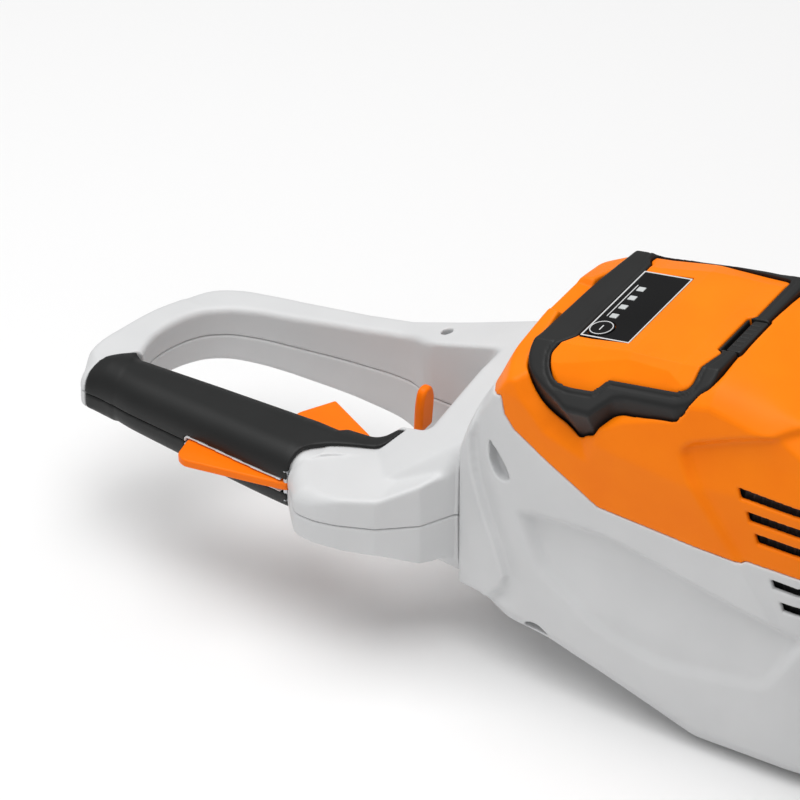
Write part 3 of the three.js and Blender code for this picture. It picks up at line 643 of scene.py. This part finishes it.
def battery_label(g):
    """Dark panel with a printed border and a row of charge lights."""
    label = outline(g.x, g.y, LABEL)
    well = cylinder(g, "z", BUTTON, BUTTON_RADIUS) - 0.3
    lamps = [both(slab(g.x, a, 2.2), slab(g.y, b, 2.0)) for a, b in CHARGE_LIGHTS]
    sunk = either(well, *[lamp - 0.15 for lamp in lamps])
    panel = cut(round_max(label, slab(g.z, -0.3, 0.9), 0.2), both(sunk, -0.9 - g.z), well)
    skin("battery_label_panel", g, panel, LABEL_FILM, "battery", "label_panel", turn=tilted)
    printed("battery_label_border", g, both(slab(label, -0.9, 0.42), slab(g.z, 0.6, 0.3)), "battery")
    printed("battery_label_rule", g, block(g, (5.8, 3, 0.6), (0.3, 16.3, 0.3)), "battery")
    for i, lamp in enumerate(lamps):
        lens = round_max(lamp, slab(g.z, -0.1, 0.85), 0.3)
        nodes = ["battery_led_strip"] if i == 0 else []
        place(carve(f"charge_light_{i + 1}", g, lens, LAMPS, tilted), "battery", "charge_light", *nodes)


def check_button(g):
    edge = cylinder(g, "z", BUTTON, BUTTON_RADIUS)
    button = round_max(edge + 0.15, slab(g.z, -0.05, 0.95), 0.5)
    skin("battery_button", g, button, LABEL_FILM, "battery_check_button", "label_panel", turn=tilted)
    ring = both(slab(edge, -1.1, 0.3), slab(g.z, 0.85, 0.25))
    printed("battery_button_ring", g, ring, "battery_check_button")
    mark = block(g, (*BUTTON, 0.85), (0.35, 2.3, 0.25))
    printed("battery_button_mark", g, mark, "battery_check_button")


def battery_latch():
    """Release tab in the front edge of the bezel, with finger ribs."""
    g = Grid((79, -27, -22), (94, 11, 1), 0.5)
    tab = both(round_max(outline(g.x, g.y, LATCH), g.z + 0.6, 0.8), -g.z - 20)
    across = g.y - LATCH_MIDDLE
    ribs = both(stripes(across, 4, 0.5), -g.z - 1.1, slab(across, 0, 11), slab(g.x, 87, 2.6))
    skin("battery_release_lever", g, cut(tab, ribs), BEZEL_BLACK, "battery_latch", "black_shell", turn=tilted)


battery_case()
battery_cover()
label_grid = Grid((1, -35, -2), (32.4, 34.2, 1.5), 0.3)
battery_label(label_grid)
check_button(label_grid)
battery_latch()


# ---- housing and top cover, drawn from the side ----
WALL = 3.0
SPLIT_GAP = 0.12
SPLIT_X = [-6, 29, 31.5, 37.5, 59, 89.8, 175.5, 177.5, 300]      # where the top cover meets the housing
SPLIT_Z = [81, 96.5, 85.5, 78, 65.8, 49.6, 48, 49.6, 50.4]

PROFILE = rounded(
    [(SEAM_GAP, -59, 1), (14, -57, 4), (30, -54.8, 6), (44, -54, 6), (60, -55.4, 8), (78, -61, 8)]
    + [(96, -65.5, 8), (125, -75, 8), (150, -84, 8), (264, -84, 2), (264, 30, 10), (210, 131, 14)]
    + [(146, 146.5, 6), (40, 128, 4), (28.5, 124.5, 4), (20.5, 100, 6), (SEAM_GAP, 59.5, 1)])
SCREW_RECESS = rounded([(21.3, 63.8, 0.5), (27.1, 59.4, 4), (32.2, 53, 4), (36.3, 43.5, 4), (29, 40, 4),
                        (22.6, 46.8, 5), (20.6, 54.3, 5)])
PANEL_RECESS = rounded([(39.5, 24.5, 1.5), (49, 29, 3), (91.4, 34.4, 5), (107, 32.6, 6), (155, 24, 8),
                        (216, 12, 3), (194, -30, 8), (130, -42, 8), (92, -35, 8), (53, -9, 8)])
VENT_RECESS = rounded([(135, 103, 4), (140, 109.5, 4), (166.5, 121.5, 8), (193, 131.5, 8), (214, 136, 4),
                       (300, 140, 0), (300, 8, 0), (199, 10, 6), (173, 48, 5), (141, 91, 5)])
RIM_FACET = rounded([(22, 140, 0), (33, 113, 4), (43, 98, 3), (56.5, 84, 2), (82, 76.5, 0.8), (88.5, 98, 1),
                     (100, 107.5, 2), (130, 119.5, 2), (150, 160, 0), (22, 160, 0)])
COLLAR = [(-10, 130), (13, 130), (11.6, 98), (10, 62), (9.4, 51), (12.3, 34), (20, 12), (27.4, -4),
          (33.6, -22), (31.5, -31), (20.6, -43), (13, -60), (-10, -80)]
LOWER_SCREW = (52.5, -53.5)
ORANGE_SLOTS = [(170.5, 89.5), (176.5, 77.3), (182, 65.5)]       # rear end and level of each vent slot
WHITE_SLOTS = [(193, 41), (199, 28.5)]
SLOT_LENGTH, SLOT_HEIGHT, SLOT_LEAN = 40, 5.8, 0.35
SLOT_DEPTH = 50          # from the tool's middle to the bottom of a slot


def step_down(distance, width):
    """0 outside an outline, rising to 1 at width inside it."""
    return np.clip(-distance / width, 0, 1)


def collar_relief(x, z):
    """The body swells into the collar at the seam, behind a shallow valley."""
    edge = outline(x, z, COLLAR)
    swell = np.exp(-(np.minimum(edge, 0) / 5.0) ** 2) * (edge <= 0)
    valley = 3.6 * np.exp(-(np.maximum(edge, 0) / 9.0) ** 2) * (edge > 0)
    return (swell - valley) * np.clip((z + 50) / 12, 0, 1)


def side_width(x, z):
    """Half width of the body seen from the side, with its creases and recesses as relief."""
    half = np.interp(x, [0.5, 8, 30, 60, 100, 150, 205, 240, 264], [60, 61.8, 65.5, 67, 68, 68.6, 67, 63, 57])
    half = np.minimum(half, 68.4 - 0.2 * (z - 86))
    low = np.interp(x, [0.5, 15, 40, 60, 96, 150, 264], [-43, -41, -45.5, -47, -56, -71, -75])
    half = half - np.interp(x, [12, 36, 150, 264], [1, 0.5, 0.5, 0.8]) * np.maximum(low - z, 0)
    high = np.interp(x, [0.5, 12, 30, 60, 139, 205, 264], [46, 74, 104, 150, 150, 118, 24])
    half = half - np.maximum(z - high, 0) + collar_relief(x, z)
    half = half - np.interp(z, [-22, 10], [2.4, 6.4]) * step_down(outline(x, z, PANEL_RECESS), 6.5)
    half = half - np.interp(z, [45, 110], [1.6, 4.6]) * step_down(outline(x, z, VENT_RECESS), 3.6)
    facet = -outline(x, z, RIM_FACET)
    slope = np.interp(x, [34, 60, 82, 89, 130], [1.1, 0.75, 0.5, 1.4, 1.4])
    half = half - np.clip(slope * facet, 0, np.interp(x, [34, 82, 89], [12, 6, 9]))
    return half.astype(np.float32)


def soft_step(distance):
    """Twice a distance where it is positive and 0 where it is negative, with a smooth turn between."""
    return distance + np.sqrt(distance * distance + 36)


def roof_height(x, y):
    """Top of the cover: it climbs along the battery, falls towards the front and rounds off to both sides."""
    top = np.minimum(126.4 + 0.2035 * (x - 56.3), 145.5 - 0.13 * (x - 146))
    rim = np.clip((62 - x) / 24, 0, 1)
    bow = 0.0012 * y * y * (1 - 0.5 * rim)
    shoulders = 0.5 * soft_step(-y - 51) * (y < 5) + 0.4 * soft_step(y - 56) * (y >= 5)
    lip = 3 - 0.30 * np.maximum(-y - 16, 0) - 0.22 * np.maximum(y - 15, 0)
    return top - bow - shoulders * (1 - rim) + lip * rim


def body_field(u, step):
    """Outside of the housing and its top cover. u holds x, y and z in drawing axes."""
    half = side_width(u.x, u.z)
    axes = [i for i in (0, 2) if half.shape[i] > 1]
    half = blur(half, 0.6 / step, axes)
    side = (np.abs(u.y) - half) * steepness(half, step, axes)
    shape = round_max(outline(u.x, u.z, PROFILE), side, 2.2)
    roof = (u.z - roof_height(u.x, u.y)) * 0.82
    notch = both(slab(u.y, 0.5, 14) - 0.9 * (u.z - 120.5), 120.5 - u.z, u.x - 46)      # in the rear rim
    return cut(round_max(shape, roof, 1.6), notch)


def split_field(u):
    """Negative in the lower, light part of the body. Only an upright grid gets its true distance."""
    line = np.interp(u.x, SPLIT_X, SPLIT_Z)
    upright = line.shape[0] > 1 and line.shape[2] == 1
    return (u.z - line) * (steepness(line.astype(np.float32), 1.0, [0]) if upright else 1)


def slot_cuts(u, slots):
    """The vent slots' outlines, seen from the side."""
    cuts = []
    for rear, level in slots:
        along = u.x - rear - SLOT_LENGTH / 2 + SLOT_LEAN * (u.z - level)
        cuts.append(both(np.abs(along) - SLOT_LENGTH / 2, slab(u.z, level, SLOT_HEIGHT / 2)))
    return either(*cuts)


def screw_recess(u):
    """Teardrop pocket of a housing screw on the right side, deepest at its tip."""
    floor = 53 + 0.28 * np.maximum(60 - u.z, 0)
    return both(outline(u.x, u.z, SCREW_RECESS), floor + u.y)


def housing_half(side, sign):
    """Light shell with a lip around its lower screw, vent slots and room for the swivel hub and gear case."""
    low, high = sorted((0, 70 * sign))
    g = Grid((0, low, -85), (265, high, 97), 1.0)
    reach = np.abs(g.y)
    half = PART_GAP - sign * g.y
    below_split = split_field(g) + SPLIT_GAP
    outer = body_field(g, g.step)
    shell = round_max(both(outer, -(outer + WALL), below_split), half, 0.4)
    if side == "right":
        pocket = screw_recess(g)
        shell = cut(either(shell, both(pocket - 2.5, outer, below_split)), pocket)
    lip = both(cylinder(g, "y", LOWER_SCREW, 9.8), outer, 53.5 - reach, half)
    screw_pocket = round_max(both(cylinder(g, "y", LOWER_SCREW, 8), 56 - reach), -51.6 - g.z, 0.8)
    vents = both(slot_cuts(g, WHITE_SLOTS), SLOT_DEPTH - reach)
    hub = both(cylinder(g, "x", (0, 0), 40.5), g.x - 16)
    gears = both(reach - 46.4, g.z + 45.6, 164 - g.x)
    shell = cut(either(shell, lip), screw_pocket, vents, hub, gears)
    skin(f"housing_{side}", g, shell, WHITE, "housing", "white_shell")


def top_cover():
    """Orange shell, drawn in the bay's tilt so that the edge around the battery comes out clean."""
    g = Grid((-76, -70, -128), (208, 70, 26), 0.95)
    u = Upright(g)
    outer = body_field(u, g.step) + 0.35
    opening = both(bezel_plan(g) + wall_lean(g) * (g.z < 2) - 0.9, -g.z - 64)
    hollow = cut(outer + WALL, opening - 2.2)
    shell = round_max(cut(outer, hollow), -opening, 1.3)
    shell = both(shell, SPLIT_GAP - split_field(u))
    shell = round_max(shell, -both(slot_cuts(u, ORANGE_SLOTS), SLOT_DEPTH - np.abs(u.y)), 0.8)
    skin("top_cover", g, shell, ORANGE, "housing", "orange_shell", turn=tilted)


def swivel_ring():
    """Bearing ring inside the housing, with a thin dark plate in the seam that paints the seam's shade."""
    g = Grid((-0.2, -59, -59), (8, 59, 59), 0.7)
    y, z = np.abs(g.y), np.abs(g.z)
    hole = cylinder(g, "x", (0, 0), 34.4)
    ring = both(cylinder(g, "x", (0, 0), 52), slab(g.x, 6, 2))
    # painted shade: a thin black plate just inside the seam, so that the seam gap reads dark
    seam_shade_plate = both(y - 49.5, z - 49.5, (y + z - 92) / math.sqrt(2), slab(g.x, 0.35, 0.35))
    skin("swivel_ring", g, cut(either(ring, seam_shade_plate), hole), BLACK, "housing", "black_shell", keep_all=True)


def vent_shade_screens():
    """Dark sheets with fins behind the vent slots: painted shade that makes the slots read black inside."""
    for i, (slots, low, high) in enumerate(((ORANGE_SLOTS, 52, 98), (WHITE_SLOTS, 18, 48))):
        for side, sign in (("right", -1), ("left", 1)):
            near, far = sorted((SLOT_DEPTH * sign, 66 * sign))
            g = Grid((162, near, low), (250, far, high), 0.8)
            depth = np.abs(g.y) - side_width(g.x, g.z)
            cuts = slot_cuts(g, slots)
            # painted shade: a black sheet and fins just behind the slots
            sheet = both(slab(depth, -6.2, 0.8), cuts - 3.4)
            shade_fins = both(stripes(g.x, 5, 0.7), slab(depth, -5.4, 0.8), cuts - 2.2)
            shade_screen = carve(f"vent_shade_screen_{side}_{i + 1}", g, either(sheet, shade_fins), BLACK, keep_all=True)
            place(shade_screen, "housing", "black_shell")


housing_half("right", -1)
housing_half("left", 1)
top_cover()
swivel_ring()
vent_shade_screens()


# ---- pieces that keep their CAD shape ----
# material and width of the softened edges
CARRIED = {
    "handle_hub": (BLACK, 0.5), "trigger_switch": (BLACK, 0.4), "trigger_pin": (BRIGHT, 0.2),
    "lock_lever_pin": (BRIGHT, 0.2), "battery_guide": (BLACK, 0.5), "battery_terminal_block": (BLACK, 0.6),
    "control_board": (BOARD, 0.3), "motor_stator": (COPPER, 0.6), "motor_rotor": (STEEL, 0.4),
    "motor_pinion": (STEEL, 0.15), "cooling_fan": (BLACK, 0.25), "crank_gear": (STEEL, 0.15),
    "eccentric_upper": (STEEL, 0.3), "eccentric_lower": (STEEL, 0.3), "gear_axle": (STEEL, 0.3),
    "connecting_rod_upper": (STEEL, 0.4), "connecting_rod_lower": (STEEL, 0.4),
}


def carry_over():
    for name, (material, bevel) in CARRIED.items():
        node = frame["nodes"][name]
        node.data.materials.clear()
        node.data.materials.append(material)
        edges = node.modifiers.new("soft edges", "BEVEL")
        edges.width = bevel * MM
        edges.segments = 2
        edges.limit_method = "ANGLE"
        edges.angle_limit = math.radians(32)


carry_over()


# ---- gear case, blades and tip guard ----
MOTOR_X, CRANK_X = 212, 242
TOOTH_START, TOOTH_PITCH, TOOTH_COUNT = 338, 36, 14
TOOTH_REACH, BLADE_HALF = 36, 12
GRIND = 1.9              # how far the ground flanks of the teeth lean in
BLADE_SCREWS = [345 + 105 * i for i in range(5)]
STROKE_HALF = 8
# the left half of each outline, which the right half mirrors
GEAR_CASE = rounded([(166, -5, 0), (166, 42, 4), (302, 42, 6), (320, 30, 4), (320, -5, 0)])
GEAR_COVER = rounded([(166, -5, 0), (166, 36, 3), (172, 42, 4), (280, 42, 6), (294, 30, 6), (294, -5, 0)])
COVER_SCREWS = [(176, 34), (227, 36), (278, 33)]
GUIDE_BAR = rounded([(300, -10, 3), (838, -10, 4), (838, 10, 4), (300, 10, 3)])
GUIDE_BAR_TOP = rounded([(301, -9, 3), (837, -9, 4), (837, 9, 4), (301, 9, 3)])


def gear_case():
    """Cast case with pockets in its flanks and a mouth for the blades."""
    g = Grid((164, -44, -86), (322, 44, -45), 0.9)
    plan = outline(g.x, np.abs(g.y), GEAR_CASE)
    roof = np.interp(g.x, [166, 300, 320], [-46, -46, -58])
    shell = round_max(round_max(plan, g.z - roof, 4), -84.7 - g.z, 0.8)
    pockets = both(stripes(g.x - 180, 18, 7.2), slab(g.z, -66, 10), plan - 1.2, 41 - np.abs(g.y))
    gears = both(slab(g.x, 229, 59), slab(g.y, 0, 37), g.z + 50)
    mouth = both(280 - g.x, slab(g.y, 0, 17), g.z + 68.5)
    bores = either(cylinder(g, "z", (MOTOR_X, 0), 8), cylinder(g, "z", (CRANK_X, 0), 4.3))
    shell = cut(shell, pockets, gears, mouth, bores)
    skin("gear_housing", g, shell, ALLOY, "housing", "gear_alloy")


def gear_cover():
    g = Grid((165, -43, -88.6), (295, 43, -84.4), 0.6)
    plan = outline(g.x, np.abs(g.y), GEAR_COVER)
    cover = round_max(plan, slab(g.z, -86.5, 1.5), 0.9)
    groove = both(slab(plan, -7, 0.8), g.z + 87.2)
    wells = [both(np.hypot(g.x - x, np.abs(g.y) - y) - 3.6, g.z + 86.9) for x, y in COVER_SCREWS]
    cover = cut(cover, groove, *wells)
    skin("gear_cover", g, cover, BLACK, "housing", "black_shell")


def plate(name, outer, inner, holes, level, inner_level, material):
    """A flat part cut from sheet: full outline on one face and a ground, smaller one on the other."""
    points, faces = [], []
    for ring, height in ((outer, level), (inner, inner_level)):
        loops = [[(x, y, height) for x, y in loop] for loop in [ring] + holes]
        start = len(points)
        points += [p for loop in loops for p in loop]
        triangles = tessellate_polygon([[Vector(p) for p in loop] for loop in loops])
        faces += [tuple(start + i for i in triangle) for triangle in triangles]
    half = len(points) // 2
    offset = 0
    for loop in [outer] + holes:
        count = len(loop)
        for i in range(count):
            a, b = offset + i, offset + (i + 1) % count
            faces += [(a, b, half + b), (a, half + b, half + a)]
        offset += count
    piece = new_object(name, to_frame(points), faces, material, smooth=False)
    mesh = bmesh.new()
    mesh.from_mesh(piece.data)
    bmesh.ops.recalc_face_normals(mesh, faces=mesh.faces)
    mesh.to_mesh(piece.data)
    mesh.free()
    return piece


def toothed(grind):
    """Outline of a blade; grind pulls the flanks of its teeth inwards."""
    half = BLADE_HALF - 0.3 * grind
    side = [(262, -half, 1)]
    for i in range(TOOTH_COUNT):
        x = TOOTH_START + i * TOOTH_PITCH
        root, tip = 9 - grind, 3.5 - 0.7 * grind
        side += [(x - root, -BLADE_HALF, 2), (x - tip, grind - TOOTH_REACH, 1.4),
                 (x + tip, grind - TOOTH_REACH, 1.4), (x + root, -BLADE_HALF, 2)]
    side += [(850, -half, 3), (866 - grind, -5, 3)]
    return rounded(side + [(x, -y, r) for x, y, r in reversed(side)], steps=3)


def slot_ring(x, reach, half, steps=8):
    """Round-ended slot around x."""
    ring = []
    for end, start in ((reach, -math.pi / 2), (-reach, math.pi / 2)):
        for k in range(steps + 1):
            angle = start + math.pi * k / steps
            ring.append((x + end + half * math.cos(angle), half * math.sin(angle)))
    return ring


def blades():
    slots = [slot_ring(x, STROKE_HALF, 3) for x in BLADE_SCREWS]
    for name, sharp, back in (("upper", -75.4, -72.9), ("lower", -75.7, -78.2)):
        piece = plate(f"blade_{name}_ground", toothed(0), toothed(GRIND), slots, sharp, back, STEEL)
        place(piece, f"{name}_blade", "blade_steel", f"blade_{name}")


def guide_bar():
    holes = [slot_ring(x, 0.01, 2.9) for x in BLADE_SCREWS]         # all but round
    bar = plate("blade_guide_rail", GUIDE_BAR, GUIDE_BAR_TOP, holes, -72.6, -69.6, BRIGHT)
    place(bar, "housing", "blade_steel", "blade_guide_bar")


def tip_guard():
    """Ribbed cap over the blades' ends, with a hook in front of them."""
    g = Grid((822, -21, -84), (889, 21, -65), 0.8)
    width = np.interp(g.x, [824, 852, 884], [14.5, 18, 20])
    plan = round_max(np.abs(g.y) - width, slab(g.x, 856, 32), 5)
    below = np.interp(g.x, [824, 872, 888], [-69.4, -82, -83])
    cap = round_max(round_max(plan, g.z + 66, 2), below - g.z, 2)
    gap = both(g.x - 875.5, g.z + 69.2)
    grooves = both(stripes(g.x - 828, 9, 3.4), -g.z - 67.3, np.abs(g.y) - width + 5, slab(g.x, 852, 22))
    skin("tip_guard", g, cut(cap, gap, grooves), BLACK, "housing", "black_shell")


# ---- screws ----
HOUSING_SCREWS = [(26, 52), (52, -50), (251, -10)]
THREAD_PITCH, THREAD_DEPTH = 1.4, 0.22


def screw(name, body, head, inward, length, radius=2.0, flange=0.0):
    """Domed screw with a star-shaped recess. head is the middle of its outer face."""
    g = Grid((-7, -7, -1), (7, 7, length + 1), 0.45)
    angle, reach = np.arctan2(g.y, g.x), np.hypot(g.x, g.y)
    top = round_max(reach - 2 * radius, both(0.05 * reach * reach - g.z, g.z - 3), 0.5)
    recess = both(reach - radius * (0.95 + 0.2 * np.cos(6 * angle)), g.z - 1.9)
    turns = g.z + angle / (2 * math.pi) * THREAD_PITCH
    thread = reach - radius + THREAD_DEPTH * np.abs(turns % THREAD_PITCH - THREAD_PITCH / 2)
    shape = either(cut(top, recess), both(thread, 2 - g.z, g.z - length))
    if flange:
        shape = cut(either(shape, both(reach - flange, slab(g.z, 2.4, 0.6))), recess)
    across = np.array([1.0, 0, 0])
    third = np.cross(inward, across)

    def turn(points):
        p = np.asarray(points)
        return to_frame(np.array(head) + p[:, :1] * across + p[:, 1:2] * third + p[:, 2:] * np.array(inward))
    place(carve(f"{name}_piece", g, shape, BRIGHT, turn, keep_all=True), body, "screw_steel", name)


def screws():
    for i, (x, z) in enumerate(HOUSING_SCREWS):
        screw(f"housing_screw_{i + 1}", "housing", (x, -50, z), (0, 1, 0), 60)
    for i, (x, y, z, _) in enumerate(HANDLE_SCREWS):
        inward = (0, 0, -math.copysign(1, z))
        screw(f"handle_screw_{i + 1}", "rear_handle", (x, y, z), inward, abs(z) + 6)
    for i, x in enumerate(BLADE_SCREWS):
        screw(f"blade_screw_{i + 1}", "housing", (x, 0, -66.2), (0, 0, -1), 14.6, radius=2.55, flange=5.6)


# ---- front handle, its switch bar and the hand guard ----
BAIL_X, BAIL_Z = 284, 140                      # middle of the bail's top bar
BAIL_RADIUS, SLEEVE_RADIUS = 10.8, 15
BAIL = [(279, 47, -54), (282, 72, -46), (BAIL_X, 98, -22), (BAIL_X, 108, 20), (BAIL_X, 108, 70),
        (BAIL_X, 98, 112), (BAIL_X, 80, 134)] + [(BAIL_X, y, BAIL_Z) for y in (64, 30, -4)]
GUARD = rounded([(-104, -60, 10), (-104, -40, 10), (-83, 62, 14)]
                + [(83, 62, 14), (104, -40, 10), (104, -60, 10)])


def smooth_path(points, steps=4):
    """Catmull-Rom curve through the points."""
    p = np.array([points[0]] + points + [points[-1]], float)
    out = []
    for i in range(1, len(p) - 2):
        for k in range(steps):
            t = k / steps
            out.append(0.5 * (2 * p[i] + (p[i + 1] - p[i - 1]) * t
                              + (2 * p[i - 1] - 5 * p[i] + 4 * p[i + 1] - p[i + 2]) * t * t
                              + (3 * p[i] - p[i - 1] - 3 * p[i + 1] + p[i + 2]) * t ** 3))
    return out + [p[-1]]


class Mirrored:
    """Sample points of a grid with the left half laid over the right."""

    def __init__(self, g):
        self.x, self.y, self.z = g.x, np.abs(g.y), g.z


def bail_frame():
    """The bail, drawn as its left half, with a bolted foot on the gear case."""
    g = Grid((262, -121, -68), (298, 121, 153), 1.3)
    m = Mirrored(g)
    path = smooth_path(BAIL)
    rods = (capsule(m, start, end, BAIL_RADIUS) for start, end in zip(path, path[1:]))
    tube = functools.reduce(np.minimum, rods)
    flattening = 0.108 * np.maximum(np.abs(g.x - BAIL_X) - 6.5, 0) ** 2
    foot = round_max(both(slab(g.x, 278, 13), slab(m.y, 48.2, 5.8)), slab(g.z, -54, 12), 2.5)
    bolts = both(np.hypot(np.abs(g.x - 278) - 7.5, g.z + 54) - 3.2, 52 - m.y)
    room_between = both(m.y - 42.3, g.z - 60)
    bail = cut(round_min(tube + flattening, foot, 5), room_between, bolts)
    skin("front_handle_frame", g, bail, BLACK, "housing", "black_shell")


def bail_grip():
    """Ribbed sleeve with finger waves below and a collar at each end."""
    g = Grid((266, -64, 121), (302, 64, 158), 0.8)
    reach = np.hypot(g.x - BAIL_X, g.z - BAIL_Z)
    waves = 0.42 * np.cos(g.y * 2 * math.pi / 23) * np.clip((136 - g.z) / 10, 0, 1)
    ribs = 0.35 * np.cos(g.y * 2 * math.pi / 3.6) * (np.abs(g.y) < 52) * (reach > 8)
    collar = 0.9 * np.exp(-((np.abs(g.y) - 59) / 2.2) ** 2)
    sleeve = round_max(reach - SLEEVE_RADIUS - collar + waves - ribs, slab(g.y, 0, 62), 1.5)
    switch_slot = both(slab(g.x, BAIL_X, 7.8), slab(g.y, 0, 59), g.z - 131)
    sleeve = cut(sleeve, reach - BAIL_RADIUS - 1, switch_slot)
    skin("front_handle_grip", g, sleeve, RUBBER, "housing", "grip_rubber")


def switch_bar():
    g = Grid((275, -60, 110), (293, 60, 126), 0.7)
    bar = round_max(slab(g.x, BAIL_X, 7) + 0.05 * np.maximum(g.z - 112, 0), slab(g.z, 118, 6), 2.6)
    bar = round_max(bar, slab(g.y, 0, 58), 3)
    grooves = both(stripes(g.y, 6, 0.8), g.z - 112.6, slab(g.y, 0, 48))
    skin("switch_bar", g, cut(bar, grooves), LEVER, "front_switch", "orange_lever")


def hand_guard():
    """A bowed pane with a thick rim and upright ribs."""
    g = Grid((307, -106, -62), (320, 106, 64), 1.0)
    sheet = outline(g.y, g.z, GUARD)
    bow = 312.5 + 3 * (1 - (g.y / 104) ** 2)
    pane = both(sheet, slab(g.x, bow, 1.3))
    rim = both(slab(sheet, -2.2, 2.2), slab(g.x, bow, 2.7))
    ribs = both(stripes(np.abs(g.y) + 12, 24, 0.9), sheet, slab(g.x, bow, 2.1))
    foot_notch = both(slab(g.y, 0, 42.4), g.z + 45.4)
    guard = cut(either(pane, rim, ribs), foot_notch)
    skin("hand_guard", g, guard, BLACK, "housing", "black_shell")


gear_case()
gear_cover()
blades()
guide_bar()
tip_guard()
screws()
bail_frame()
bail_grip()
switch_bar()
hand_guard()


# ---- floor, light, finish ----
STUDIO_WHITE = 0.42
STUDIO_LIGHTS = [("key", (-0.45, -0.25, 2.2), 2.0, 44), ("fill", (0.9, -1.7, 1.3), 1.2, 2)]
LIGHT_AIM = Vector((-0.1, 0, 0.05))


def lay_floor():
    bpy.ops.mesh.primitive_plane_add(size=12, location=(0, 0, CAD_BOX[0][2] - 0.0002))
    floor = bpy.context.object
    floor.name = "floor"
    material = bpy.data.materials.new("floor")
    material.use_nodes = True
    shader = material.node_tree.nodes["Principled BSDF"]
    shader.inputs["Base Color"].default_value = (0.9, 0.9, 0.9, 1)
    shader.inputs["Roughness"].default_value = 0.6
    floor.data.materials.append(material)


def light_studio():
    world = bpy.data.worlds.new("studio")
    world.use_nodes = True
    background = world.node_tree.nodes["Background"]
    background.inputs["Color"].default_value = (1, 1, 1, 1)
    background.inputs["Strength"].default_value = STUDIO_WHITE
    bpy.context.scene.world = world
    bpy.context.scene.view_settings.view_transform = "Standard"
    for name, spot, size, power in STUDIO_LIGHTS:
        light = bpy.data.objects.new(name, bpy.data.lights.new(name, "AREA"))
        light.data.size = size
        light.data.energy = power
        light.location = spot
        light.rotation_euler = (LIGHT_AIM - Vector(spot)).to_track_quat("-Z", "Y").to_euler()
        bpy.context.scene.collection.objects.link(light)


lay_floor()
light_studio()
